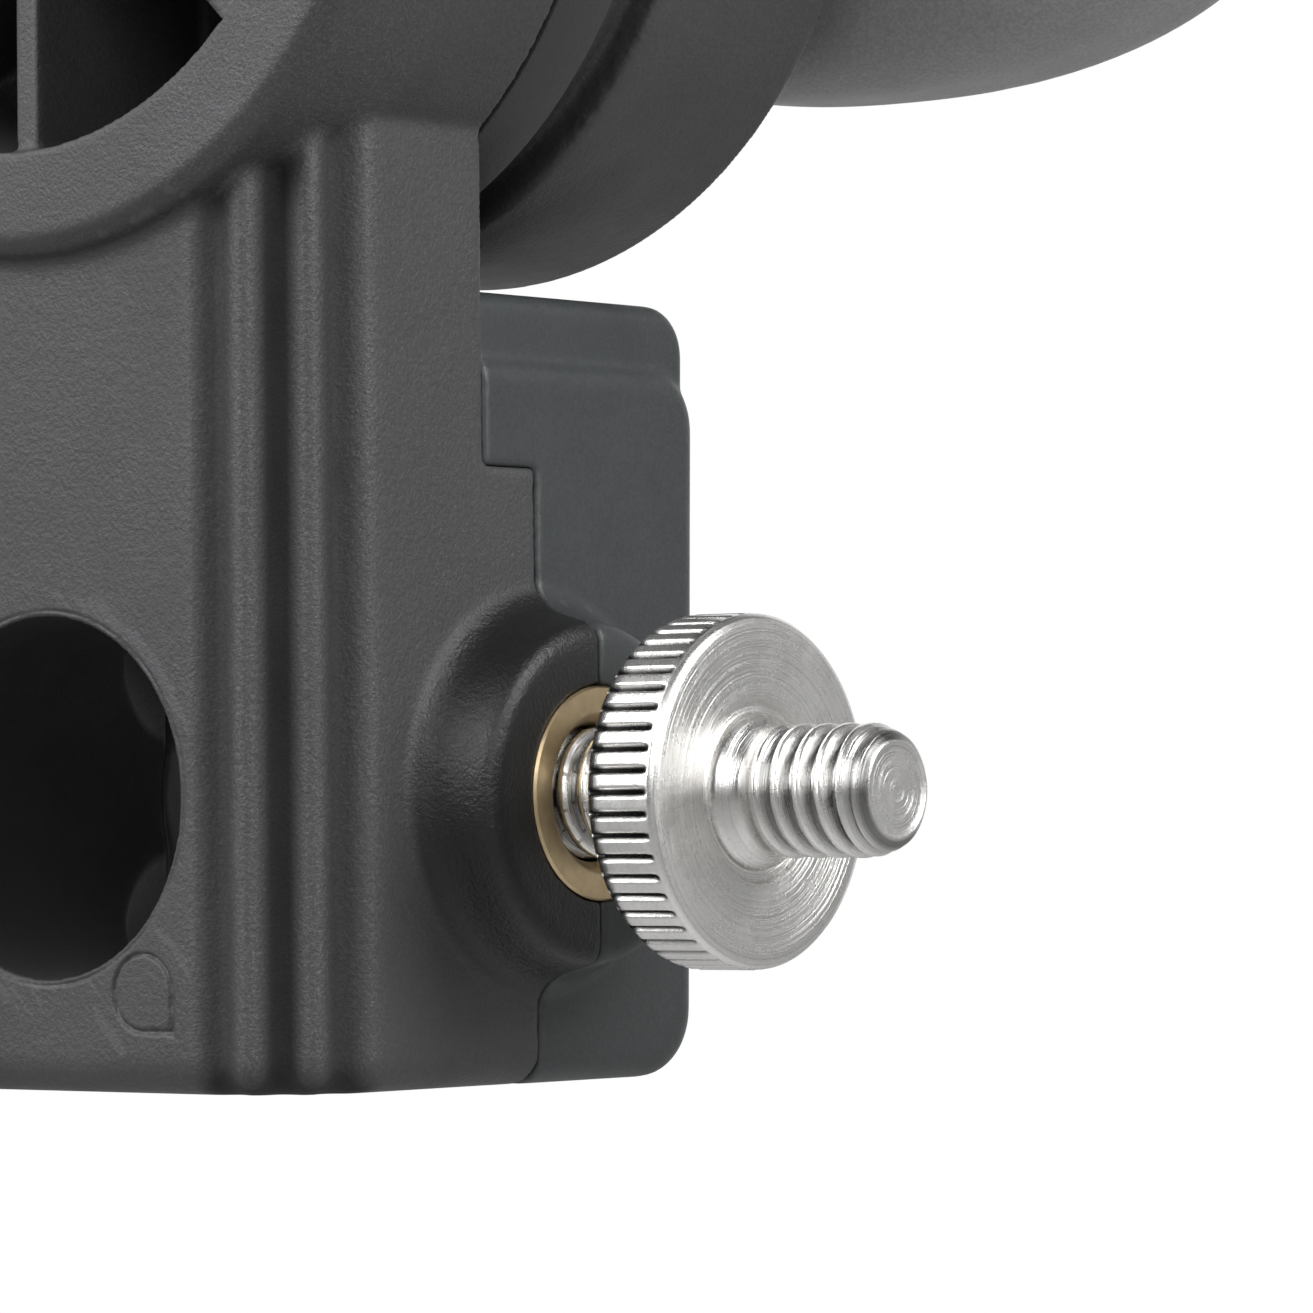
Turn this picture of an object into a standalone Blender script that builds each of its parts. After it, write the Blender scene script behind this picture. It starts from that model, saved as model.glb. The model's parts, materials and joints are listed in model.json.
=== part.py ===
"""Umbrella swivel bracket for a light stand, as an assembly of separate pieces.

A clamshell stand block carries a cored tilt hub. A swivel arm turns on the hub's bolt, and a
paddle lever behind it clamps the tilt. The arm's head holds an umbrella shaft and a reversible
spigot. Knurled screws lock the stand socket, the spigot and the umbrella shaft.

Dimensions are in millimetres and become metres when a piece is finished. +Z is up, -Y is the
front, and the origin is the centre of the stand socket's mouth.
"""

import math

import bmesh
import bpy
from mathutils import Matrix, Vector

MM = 0.001
GAP = 0.3

# Stand block. The arm's head repeats it upside down, with its own bores.
HALF_WIDTH = 15.9
FRONT_Y = -17.9
REAR_Y = 12.8
CORNER_R = 6.4
FLUTE_ANGLES = (11.0, 40.5, 70.0)
FLUTE_DEPTHS = (0.85, 1.25, 0.85)
FLUTE_PITCH = 29.5
BOTTOM_FILLET = 1.7
STEP_Z = 29.7
PLATE_BACK_Y = -3.9
LOWER_TIER_Z = 35.3
UPPER_TIER_Z = 38.2
TIER_INSET = 0.5
TIER_ROUND = 3.3
UPPER_TIER_ROUND = 2.5
SIDE_ROUND = 1.4
TIER_FRONT_Y = -9.0
BODY_BACK_Y = 3.0

# Tilt hub and the swivel disc that faces it.
HUB_Z = 63.5
HUB_R = 23.75
RING_FRONT_Y = -19.4
RING_OUTER_R = 22.9
RING_INNER_R = 18.8
HUB_CHAMFER = 0.8
CAVITY_FLOOR_Y = -7.0
CORE_R = 9.3
RIB_FRONT_Y = -18.7
RIB_COUNT = 8
RIB_THICKNESS = 1.4
RIB_ROOT = 0.8
DISC_R = 23.3
DISC_FRONT_Y = 2.5
DISC_BACK_Y = 17.0
DISC_EDGE = 0.6
NECK_BACK_Y = -16.2

# Serrated faces between hub and disc, with an even number of teeth so that they mesh at 90 degrees.
TOOTH_COUNT = 24
TOOTH_HEIGHT = 1.4
TOOTH_ROOT = 0.15
TOOTH_OUTER_R = 18.6
TOOTH_INNER_R = 10.0
PLATE_FRONT_Y = -1.0
SEAT_R = 19.0
SEAT_DEPTH = 1.8
SPRING_POCKET_R = 8.0
SPRING_POCKET_DEPTH = 4.7
SPRING_R = 6.0
SPRING_WIRE_R = 0.5
SPRING_TURNS = 4

# Tilt bolt, M8.
BOLT_R = 3.95
BOLT_BORE_R = 4.2
BOLT_HEAD_AF = 13.0
BOLT_POCKET_AF = 13.7
BOLT_HEAD_FRONT_Y = -17.4
BOLT_HEAD_BACK_Y = -12.4
BOLT_END_Y = 24.6
INSERT_BORE_END_Y = 26.7

# Lever behind the disc.
WASHER_R = 10.5
WASHER_FRONT_Y = 17.3
WASHER_BACK_Y = 18.5
INSERT_FLANGE_R = 8.5
INSERT_FLANGE_Y = 18.8
INSERT_BARREL_Y = 20.3
INSERT_END_Y = 28.6
SPLINE_COUNT = 12
SPLINE_ROOT_R = 5.8
SPLINE_TIP_R = 6.5
SPLINE_SHAPE = ((-7.5, SPLINE_ROOT_R), (-6.0, SPLINE_TIP_R), (6.0, SPLINE_TIP_R), (7.5, SPLINE_ROOT_R))
COLLAR_R = 10.5
COLLAR_FRONT_Y = 20.7
PADDLE_FRONT_Y = 24.0
PADDLE_BACK_Y = 36.0
PADDLE_CENTRE_X = 14.9
PADDLE_HALF_LENGTH = 25.3
PADDLE_HALF_HEIGHT = 13.5
PADDLE_ROUND = 3.6
HANDLE_SPLINE_Y = 26.3
HANDLE_SHOULDER_Y = 28.9
HANDLE_POCKET_Y = 30.0
HANDLE_POCKET_R = 4.8
HANDLE_HOLE_R = 2.6
SLEEVE_R = 7.0
SPLINE_FIT = 0.25
CAP_SCREW_R = 2.0
CAP_HEAD_R = 4.2
CAP_HEAD_FRONT_Y = 34.1
CAP_HEAD_BACK_Y = 35.6
CAP_SOCKET_R = 1.7
LEVER_SPRING_R = 3.5
LEVER_WIRE_R = 0.35
LEVER_TURNS = 3

# Sockets and bores, in the block's own frame.
SOCKET_R = 8.25
STAND_SOCKET_DEPTH = 33.0
CROSS_BORE_R = 8.6
STAND_LOCK_Z = 14.0
STUD_LOCK_Z = 12.5
STUD_SOCKET_DEPTH = 21.0
UMBRELLA_BORE_R = 5.0
UMBRELLA_Z = 29.5
BODY_SCREW_X = 12.2
STAND_SCREW_Z = (5.5, 26.5)
HEAD_SCREW_Z = (4.6, 20.8)

# Side boss with its brass insert and the knurled double-ended screw.
BOSS_ROOT_X = 13.0
BOSS_END_X = 19.8
BOSS_PROFILE = ((10.0, 15.7), (9.2, 16.1), (8.6, 16.9), (8.35, 17.8), (8.0, 19.3), (7.5, BOSS_END_X))
BRASS_R = 5.15
BRASS_START_X = 13.4
BRASS_BORE_R = 3.3
BRASS_MOUTH_R = 3.8
PAD_R = 4.6
PAD_START_X = 8.9
PAD_END_X = 10.5
STUD_THREAD_R = 3.15
DISC_START_X = 25.2
DISC_END_X = 29.55
KNURL_R = 8.4
SCREW_TIP_X = 37.3
TIP_CHAMFER = 0.85

# Umbrella thumb screw, along -Y of the head.
UMBRELLA_BOSS_END = 16.4
UMBRELLA_BOSS_R = 6.2
UMBRELLA_BRASS_R = 4.2
UMBRELLA_BRASS_START = 9.1
THUMB_SCREW_R = 2.9
UMBRELLA_PAD_R = 2.8
UMBRELLA_PAD_THICKNESS = 1.4
UMBRELLA_ROOT_Y = 8.0
UMBRELLA_ROOT_R = 7.0
THUMB_COLLAR_R = 4.8
THUMB_COLLAR_LENGTH = 1.6
THUMB_KNOB_START = 20.4
THUMB_KNOB_END = 28.0
THUMB_KNOB_R = 7.2

# Body screws.
SCREW_SHANK_R = 1.4
SCREW_PILOT_R = 1.6
SCREW_HEAD_R = 2.6
SCREW_POCKET_R = 2.9
SCREW_POCKET_DEPTH = 3.2
SCREW_LENGTH = 18.0
SCREW_HEAD_HEIGHT = 1.8
PILOT_FRONT_Y = -10.0
CROSS_HALF_LENGTH = 1.3
CROSS_HALF_WIDTH = 0.3

# Reversible spigot in the head.
HEAD_TOP_Z = 127.0
WAIST_HALF_LENGTH = 5.5
SPIGOT_R = 7.9
SPIGOT_BOTTOM_Z = 106.4
SPIGOT_TOP_Z = 141.0
SPIGOT_THREAD_TOP_Z = 150.0
SPIGOT_WAIST_R = 6.5

# Tools of the Booleans run past the faces that they cut.
OVERRUN = 3.0
SEAM_REACH = 60.0
BRASS_FIT = 0.15
PAD_ROOM = 0.4
SCREW_FIT = 0.2
WELD = 0.002
FINE = 64
MEDIUM = 40
COARSE = 24
SMALL = 16

MATERIALS = {
    "grained_plastic": ((0.030, 0.030, 0.031), 0.55, 0.0),
    "smooth_plastic": ((0.026, 0.028, 0.029), 0.42, 0.0),
    "lever_plastic": ((0.035, 0.035, 0.036), 0.40, 0.0),
    "brass": ((0.62, 0.46, 0.24), 0.35, 1.0),
    "nickel": ((0.78, 0.77, 0.75), 0.22, 1.0),
    "steel": ((0.55, 0.55, 0.56), 0.35, 1.0),
    "black_steel": ((0.045, 0.045, 0.047), 0.4, 0.9),
}


# ---------------------------------------------------------------- mesh helpers

def clear_scene():
    for obj in list(bpy.data.objects):
        bpy.data.objects.remove(obj)


def finish_mesh(bm, name):
    """Links a bmesh as a mesh object, still in millimetres, with its faces pointing out."""
    bmesh.ops.recalc_face_normals(bm, faces=bm.faces)
    mesh = bpy.data.meshes.new(name)
    bm.to_mesh(mesh)
    bm.free()
    obj = bpy.data.objects.new(name, mesh)
    bpy.context.scene.collection.objects.link(obj)
    return obj


def on_axis(axis, across, up, along):
    """Point from coordinates across an axis: X takes (y, z), Y takes (x, z), Z takes (x, y)."""
    if axis == "X":
        return Vector((along, across, up))
    if axis == "Y":
        return Vector((across, along, up))
    return Vector((across, up, along))


def loft(rings, name="loft"):
    """Closed solid through rings of equal point count."""
    bm = bmesh.new()
    rows = [[bm.verts.new(p) for p in ring] for ring in rings]
    count = len(rows[0])
    for low, high in zip(rows, rows[1:]):
        for i in range(count):
            j = (i + 1) % count
            bm.faces.new((low[i], low[j], high[j], high[i]))
    bm.faces.new(list(reversed(rows[0])))
    bm.faces.new(rows[-1])
    return finish_mesh(bm, name)


def prism(outline, axis, low, high, name="prism"):
    rings = [[on_axis(axis, u, v, t) for u, v in outline] for t in (low, high)]
    return loft(rings, name)


def circle(radius, count, centre=(0.0, 0.0)):
    step = 2 * math.pi / count
    points = []
    for i in range(count):
        points.append((centre[0] + radius * math.cos(step * i), centre[1] + radius * math.sin(step * i)))
    return points


def cylinder(axis, centre, radius, low, high, count=MEDIUM, name="cylinder"):
    return prism(circle(radius, count, centre), axis, low, high, name)


def box(low, high, name="box"):
    outline = [(low[0], low[1]), (high[0], low[1]), (high[0], high[1]), (low[0], high[1])]
    return prism(outline, "Z", low[2], high[2], name)


def turned(profile, axis, centre, count=MEDIUM, name="turned"):
    """Solid turned about an axis from a closed profile of (radius, along); radius 0 is on the axis."""
    bm = bmesh.new()
    step = 2 * math.pi / count
    rows = []
    for radius, along in profile:
        if radius == 0:
            rows.append([bm.verts.new(on_axis(axis, centre[0], centre[1], along))])
            continue
        row = []
        for i in range(count):
            across = centre[0] + radius * math.cos(step * i)
            up = centre[1] + radius * math.sin(step * i)
            row.append(bm.verts.new(on_axis(axis, across, up, along)))
        rows.append(row)
    for low, high in zip(rows, rows[1:] + rows[:1]):
        if len(low) == 1 and len(high) == 1:
            continue
        for i in range(count):
            j = (i + 1) % count
            corners = (low[i % len(low)], low[j % len(low)], high[j % len(high)], high[i % len(high)])
            bm.faces.new(list(dict.fromkeys(corners)))
    return finish_mesh(bm, name)


def weld(obj):
    """Merges points that a Boolean left a hair apart."""
    bm = bmesh.new()
    bm.from_mesh(obj.data)
    bmesh.ops.remove_doubles(bm, verts=bm.verts, dist=WELD)
    bmesh.ops.dissolve_degenerate(bm, edges=bm.edges, dist=WELD)
    bm.to_mesh(obj.data)
    bm.free()


def combine(base, tools, operation):
    """Applies exact Booleans to base with each tool in turn, and removes the tools."""
    for tool in tools:
        modifier = base.modifiers.new("bool", "BOOLEAN")
        modifier.operation = operation
        modifier.solver = "EXACT"
        modifier.object = tool
        graph = bpy.context.evaluated_depsgraph_get()
        mesh = bpy.data.meshes.new_from_object(base.evaluated_get(graph))
        base.modifiers.clear()
        base.data = mesh
        bpy.data.objects.remove(tool)
        weld(base)
    return base


def union(base, *tools):
    return combine(base, tools, "UNION")


def cut(base, *tools):
    return combine(base, tools, "DIFFERENCE")


def place(obj, matrix):
    obj.data.transform(matrix)
    return obj


def arc(centre, radius, start, end, steps):
    """Points on a circular arc, with angles in degrees."""
    points = []
    for i in range(steps + 1):
        angle = math.radians(start + (end - start) * i / steps)
        points.append((centre[0] + radius * math.cos(angle), centre[1] + radius * math.sin(angle)))
    return points


def finish_piece(obj, name, material, pivot=None):
    """Names a finished piece, gives it its material, shades it and hangs it on its joint's empty."""
    obj.name = name
    obj.data.name = name
    obj.data.transform(Matrix.Scale(MM, 4))
    obj.data.materials.clear()
    obj.data.materials.append(material)
    obj.data.shade_smooth()
    obj.data.set_sharp_from_angle(angle=math.radians(32))
    if pivot:
        obj.parent = pivot
        obj.matrix_parent_inverse = Matrix.Translation(-pivot_point(pivot))
    return obj


def make_materials():
    made = {}
    for name, (colour, roughness, metallic) in MATERIALS.items():
        material = bpy.data.materials.new(name)
        material.use_nodes = True
        shader = material.node_tree.nodes["Principled BSDF"]
        shader.inputs["Base Color"].default_value = (*colour, 1.0)
        shader.inputs["Roughness"].default_value = roughness
        shader.inputs["Metallic"].default_value = metallic
        made[name] = material
    return made


def pivot_point(empty):
    point = Vector(empty.location)
    while empty.parent:
        empty = empty.parent
        point += Vector(empty.location)
    return point


def joint_empty(name, point, parent=None):
    """Empty on a joint's axis; its children turn or slide with it."""
    empty = bpy.data.objects.new(name, None)
    bpy.context.scene.collection.objects.link(empty)
    empty.location = Vector(point) * MM
    if parent:
        empty.location -= pivot_point(parent)
        empty.parent = parent
    return empty


# ---------------------------------------------------------------- stand block and head

def flute_radius(angle):
    """Radius of the reeded corner at an angle in degrees, 0 facing front and 90 facing the side."""
    radius = CORNER_R
    for centre, depth in zip(FLUTE_ANGLES, FLUTE_DEPTHS):
        offset = abs(angle - centre)
        if offset < FLUTE_PITCH / 2:
            radius -= depth * (0.5 + 0.5 * math.cos(2 * math.pi * offset / FLUTE_PITCH))
    return radius


def block_plan(inset, back):
    """Plan outline with reeded front corners, moved inwards by inset, ending at a straight back edge."""
    shrink = (CORNER_R - inset) / CORNER_R
    right = [(HALF_WIDTH - inset, back)]
    for i in range(27):
        angle = 90 * (1 - i / 26)
        reach = flute_radius(angle) * shrink
        x = HALF_WIDTH - CORNER_R + reach * math.sin(math.radians(angle))
        y = FRONT_Y + CORNER_R - reach * math.cos(math.radians(angle))
        right.append((x, y))
    return right + [(-x, y) for x, y in reversed(right)]


def reeded_block(top, back):
    """Block from its rounded bottom edge up to a height."""
    rings = []
    for i in range(5):
        angle = math.radians(90 * i / 4)
        inset = BOTTOM_FILLET * (1 - math.sin(angle))
        z = BOTTOM_FILLET * (1 - math.cos(angle))
        rings.append([Vector((x, y, z)) for x, y in block_plan(inset, back)])
    rings.append([Vector((x, y, top)) for x, y in block_plan(0.0, back)])
    return loft(rings)


def tier(half_width, rear, bottom, top, rounding, side_round):
    """Rounded rear tier: a side profile across the block, with its ends' edges rounded."""
    steps = 3
    ends = []
    for i in range(steps + 1):
        angle = math.radians(90 * i / steps)
        inset = side_round * (1 - math.cos(angle))
        ends.append((half_width - side_round * (1 - math.sin(angle)), inset))
    rings = []
    for x, inset in [(-x, inset) for x, inset in reversed(ends)] + ends:
        reach = rounding - inset
        profile = [(TIER_FRONT_Y, bottom + inset)]
        profile += arc((rear - rounding, bottom + rounding), reach, -90, 0, 5)
        profile += arc((rear - rounding, top - rounding), reach, 0, 90, 5)
        profile.append((TIER_FRONT_Y, top - inset))
        rings.append([Vector((x, y, z)) for y, z in profile])
    return loft(rings)


def side_boss(lock_z):
    root_r = BOSS_PROFILE[0][0]
    profile = [(0.0, BOSS_ROOT_X), (root_r, BOSS_ROOT_X), *BOSS_PROFILE, (0.0, BOSS_END_X)]
    return turned(profile, "X", (0.0, lock_z), MEDIUM)


def rear_side_of_seam(offset):
    """Everything behind the stepped seam, moved back by an offset."""
    reach = SEAM_REACH
    step = STEP_Z - offset
    plate = PLATE_BACK_Y + offset
    outline = [
        (offset, -reach), (reach, -reach), (reach, 3 * reach),
        (plate, 3 * reach), (plate, step), (offset, step),
    ]
    return prism(outline, "X", -reach, reach)


def front_side_of_seam(offset):
    """Everything in front of the stepped seam, moved forward by an offset."""
    reach = SEAM_REACH
    step = STEP_Z + offset
    plate = PLATE_BACK_Y + offset
    outline = [
        (-reach, -reach), (offset, -reach), (offset, step),
        (plate, step), (plate, 3 * reach), (-reach, 3 * reach),
    ]
    return prism(outline, "X", -reach, reach)


def lock_bores(lock_z, socket_depth):
    """Stud socket, and the bore of the brass insert and the pad."""
    socket = cylinder("Z", (0.0, 0.0), SOCKET_R, -OVERRUN, socket_depth)
    insert = cylinder("X", (0.0, lock_z), BRASS_R + BRASS_FIT, SOCKET_R / 2, BOSS_END_X + OVERRUN)
    return socket, insert


def screw_holes(heights, radius, low, high):
    holes = []
    for x in (-BODY_SCREW_X, BODY_SCREW_X):
        for z in heights:
            holes.append(cylinder("Y", (x, z), radius, low, high, COARSE))
    return holes


def rear_screw_holes(body, heights):
    """Pilot holes through a rear half, with a pocket for each screw's head."""
    end = REAR_Y + OVERRUN
    cut(body, *screw_holes(heights, SCREW_PILOT_R, -OVERRUN, end))
    return cut(body, *screw_holes(heights, SCREW_POCKET_R, REAR_Y - SCREW_POCKET_DEPTH, end))


def front_body_half():
    """Front half of the stand block, moulded in one with the cored tilt hub."""
    body = reeded_block(HUB_Z - BODY_BACK_Y, BODY_BACK_Y)
    hub_profile = [
        (0.0, 0.5), (HUB_R, 0.5), (HUB_R, RING_FRONT_Y + HUB_CHAMFER),
        (RING_OUTER_R, RING_FRONT_Y),
        (0.0, RING_FRONT_Y),
    ]
    hub = turned(hub_profile, "Y", (0.0, HUB_Z), FINE)
    union(body, hub, side_boss(STAND_LOCK_Z))
    cut(body, rear_side_of_seam(-GAP / 2))
    cavity_profile = [
        (RING_INNER_R, RING_FRONT_Y - OVERRUN), (RING_INNER_R, CAVITY_FLOOR_Y),
        (CORE_R, CAVITY_FLOOR_Y),
        (CORE_R, RIB_FRONT_Y), (0.0, RIB_FRONT_Y), (0.0, RING_FRONT_Y - OVERRUN),
    ]
    cut(body, turned(cavity_profile, "Y", (0.0, HUB_Z), FINE))
    cut(body, cylinder("Y", (0.0, HUB_Z), BOLT_BORE_R, RING_FRONT_Y - OVERRUN, OVERRUN, COARSE))
    for i in range(RIB_COUNT):
        low = (-RIB_THICKNESS / 2, RIB_FRONT_Y, CORE_R - RIB_ROOT)
        high = (RIB_THICKNESS / 2, CAVITY_FLOOR_Y + RIB_ROOT, RING_INNER_R + RIB_ROOT)
        rib = box(low, high)
        turn = Matrix.Rotation(math.radians(360 * i / RIB_COUNT), 4, "Y")
        union(body, place(rib, Matrix.Translation((0, 0, HUB_Z)) @ turn))
    pocket = circle(BOLT_POCKET_AF / math.sqrt(3), 6, (0.0, HUB_Z))
    cut(body, prism(pocket, "Y", RING_FRONT_Y - OVERRUN, BOLT_HEAD_BACK_Y + GAP))
    cut(body, *lock_bores(STAND_LOCK_Z, STAND_SOCKET_DEPTH))
    cut(body, cylinder("Y", (0.0, STAND_LOCK_Z), CROSS_BORE_R, FRONT_Y - OVERRUN, REAR_Y + OVERRUN))
    return cut(body, *screw_holes(STAND_SCREW_Z, SCREW_PILOT_R, PILOT_FRONT_Y, OVERRUN))


def rear_shell(lock_z):
    """Two-tier rear half before its bores, cut at the stepped seam."""
    body = tier(HALF_WIDTH, REAR_Y, 0.0, LOWER_TIER_Z, TIER_ROUND, SIDE_ROUND)
    upper = tier(
        HALF_WIDTH - TIER_INSET, REAR_Y - TIER_INSET,
        LOWER_TIER_Z - 2 * UPPER_TIER_ROUND, UPPER_TIER_Z, UPPER_TIER_ROUND, TIER_INSET,
    )
    union(body, upper, side_boss(lock_z))
    return cut(body, front_side_of_seam(GAP / 2))


def rear_body_half():
    body = rear_shell(STAND_LOCK_Z)
    cut(body, *lock_bores(STAND_LOCK_Z, STAND_SOCKET_DEPTH))
    cut(body, cylinder("Y", (0.0, STAND_LOCK_Z), CROSS_BORE_R, FRONT_Y - OVERRUN, REAR_Y + OVERRUN))
    return rear_screw_holes(body, STAND_SCREW_Z)


# The head is the block's shape upside down and back to front: (x, y, z) goes to (x, -y, top - z).
HEAD_TURN = Matrix.Translation((0, 0, HEAD_TOP_Z)) @ Matrix.Rotation(math.pi, 4, "X")


def arm_body():
    """Swivel disc, neck and the reeded rear half of the head, in one moulding."""
    wide = 2 * HALF_WIDTH
    body = union(reeded_block(HUB_Z - BODY_BACK_Y, BODY_BACK_Y), side_boss(STUD_LOCK_Z))
    cut(body, box((-wide, FRONT_Y - OVERRUN, UPPER_TIER_Z), (wide, NECK_BACK_Y, HUB_Z)))
    disc_profile = [
        (0.0, -DISC_FRONT_Y), (DISC_R - DISC_EDGE, -DISC_FRONT_Y),
        (DISC_R, -DISC_FRONT_Y - DISC_EDGE),
        (DISC_R, -DISC_BACK_Y + DISC_EDGE), (DISC_R - DISC_EDGE, -DISC_BACK_Y),
        (0.0, -DISC_BACK_Y),
    ]
    cut(body, rear_side_of_seam(-GAP / 2))
    union(body, turned(disc_profile, "Y", (0.0, HUB_Z), FINE))
    hub = (0.0, HUB_Z)
    seat_floor = -DISC_FRONT_Y - SEAT_DEPTH - GAP
    pocket_floor = -DISC_FRONT_Y - SPRING_POCKET_DEPTH
    cut(body, cylinder("Y", hub, SEAT_R + GAP, seat_floor, OVERRUN, FINE))
    cut(body, cylinder("Y", hub, SPRING_POCKET_R, pocket_floor, OVERRUN))
    cut(body, cylinder("Y", hub, BOLT_BORE_R, -DISC_BACK_Y - OVERRUN, OVERRUN, COARSE))
    cut(body, *lock_bores(STUD_LOCK_Z, STUD_SOCKET_DEPTH))
    cut(body, cylinder("X", (0.0, UMBRELLA_Z), UMBRELLA_BORE_R, -wide, wide))
    cut(body, *screw_holes(HEAD_SCREW_Z, SCREW_PILOT_R, PILOT_FRONT_Y, OVERRUN))
    return place(body, HEAD_TURN)


def arm_cap():
    """Two-tier front half of the head, with the umbrella screw's boss."""
    body = rear_shell(STUD_LOCK_Z)
    boss_profile = [
        (0.0, UMBRELLA_ROOT_Y), (UMBRELLA_ROOT_R, UMBRELLA_ROOT_Y),
        (UMBRELLA_ROOT_R, REAR_Y + 0.2), (UMBRELLA_BOSS_R, REAR_Y + 1.0),
        (UMBRELLA_BOSS_R - 0.2, UMBRELLA_BOSS_END - 0.5),
        (UMBRELLA_BOSS_R - 0.7, UMBRELLA_BOSS_END),
        (0.0, UMBRELLA_BOSS_END),
    ]
    axis = (0.0, UMBRELLA_Z)
    union(body, turned(boss_profile, "Y", axis, MEDIUM))
    cut(body, *lock_bores(STUD_LOCK_Z, STUD_SOCKET_DEPTH))
    cut(body, cylinder("X", axis, UMBRELLA_BORE_R, -2 * HALF_WIDTH, 2 * HALF_WIDTH))
    brass_floor = UMBRELLA_BRASS_START - GAP
    cut(body, cylinder("Y", axis, UMBRELLA_BRASS_R + BRASS_FIT, brass_floor, UMBRELLA_BOSS_END + OVERRUN))
    pad_room = UMBRELLA_PAD_R + PAD_ROOM
    cut(body, cylinder("Y", axis, pad_room, UMBRELLA_BORE_R / 2, brass_floor + OVERRUN, COARSE))
    return place(rear_screw_holes(body, HEAD_SCREW_Z), HEAD_TURN)


def body_screw(x, z):
    """Pan-head screw through the rear half into the front half, in the block's own frame."""
    head = REAR_Y - SCREW_POCKET_DEPTH + GAP
    profile = [
        (0.0, head - SCREW_LENGTH), (SCREW_SHANK_R * 0.5, head - SCREW_LENGTH),
        (SCREW_SHANK_R, head - SCREW_LENGTH + 1.5),
        (SCREW_SHANK_R, head), (SCREW_HEAD_R, head), (SCREW_HEAD_R, head + 1.0),
        (SCREW_HEAD_R * 0.6, head + SCREW_HEAD_HEIGHT),
        (0.0, head + SCREW_HEAD_HEIGHT),
    ]
    screw = turned(profile, "Y", (x, z), SMALL)
    slots = []
    for wide, high in ((CROSS_HALF_LENGTH, CROSS_HALF_WIDTH), (CROSS_HALF_WIDTH, CROSS_HALF_LENGTH)):
        low = (x - wide, head + SCREW_HEAD_HEIGHT / 2, z - high)
        slots.append(box(low, (x + wide, head + OVERRUN, z + high)))
    return cut(screw, union(*slots))


# ---------------------------------------------------------------- locks

def brass_insert(lock_z):
    profile = [
        (BRASS_BORE_R, BRASS_START_X), (BRASS_R, BRASS_START_X), (BRASS_R, BOSS_END_X + 0.05),
        (BRASS_MOUTH_R, BOSS_END_X + 0.05), (BRASS_BORE_R, BOSS_END_X - 0.6),
    ]
    return turned(profile, "X", (0.0, lock_z), MEDIUM)


def clamp_pad(lock_z):
    profile = [
        (0.0, PAD_START_X), (PAD_R - 0.5, PAD_START_X), (PAD_R, PAD_START_X + 0.4),
        (PAD_R, PAD_END_X), (0.0, PAD_END_X),
    ]
    return turned(profile, "X", (0.0, lock_z), COARSE)


def double_screw(lock_z):
    """Knurled disc between two quarter-inch threads."""
    chamfer = 0.6
    profile = [
        (0.0, PAD_END_X + GAP), (STUD_THREAD_R - 0.6, PAD_END_X + GAP),
        (STUD_THREAD_R, PAD_END_X + GAP + 0.6),
        (STUD_THREAD_R, DISC_START_X), (KNURL_R - chamfer, DISC_START_X),
        (KNURL_R, DISC_START_X + chamfer),
        (KNURL_R, DISC_END_X - chamfer), (KNURL_R - chamfer, DISC_END_X),
        (STUD_THREAD_R, DISC_END_X),
        (STUD_THREAD_R, SCREW_TIP_X - TIP_CHAMFER), (STUD_THREAD_R - TIP_CHAMFER, SCREW_TIP_X),
        (0.0, SCREW_TIP_X),
    ]
    return turned(profile, "X", (0.0, lock_z), 48)


def umbrella_axis():
    return 0.0, HEAD_TOP_Z - UMBRELLA_Z


def umbrella_insert():
    profile = [
        (THUMB_SCREW_R + BRASS_FIT, -UMBRELLA_BRASS_START), (UMBRELLA_BRASS_R, -UMBRELLA_BRASS_START),
        (UMBRELLA_BRASS_R, -UMBRELLA_BOSS_END - 0.05),
        (THUMB_SCREW_R + BRASS_FIT, -UMBRELLA_BOSS_END - 0.05),
    ]
    return turned(profile, "Y", umbrella_axis(), COARSE)


def umbrella_pad():
    start = -UMBRELLA_BORE_R - GAP
    end = start - UMBRELLA_PAD_THICKNESS
    profile = [(0.0, start), (UMBRELLA_PAD_R, start), (UMBRELLA_PAD_R, end), (0.0, end)]
    return turned(profile, "Y", umbrella_axis(), COARSE)


def thumb_screw():
    tip = UMBRELLA_BORE_R + UMBRELLA_PAD_THICKNESS + 2 * GAP
    collar = THUMB_KNOB_START - THUMB_COLLAR_LENGTH
    profile = [
        (0.0, -tip), (THUMB_SCREW_R - 0.5, -tip), (THUMB_SCREW_R, -tip - 0.5),
        (THUMB_SCREW_R, -collar),
        (THUMB_COLLAR_R, -collar), (THUMB_COLLAR_R, -THUMB_KNOB_START),
        (THUMB_KNOB_R, -THUMB_KNOB_START),
        (THUMB_KNOB_R, -THUMB_KNOB_END + 0.7), (THUMB_KNOB_R - 0.7, -THUMB_KNOB_END),
        (0.0, -THUMB_KNOB_END),
    ]
    return turned(profile, "Y", umbrella_axis(), MEDIUM)


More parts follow.
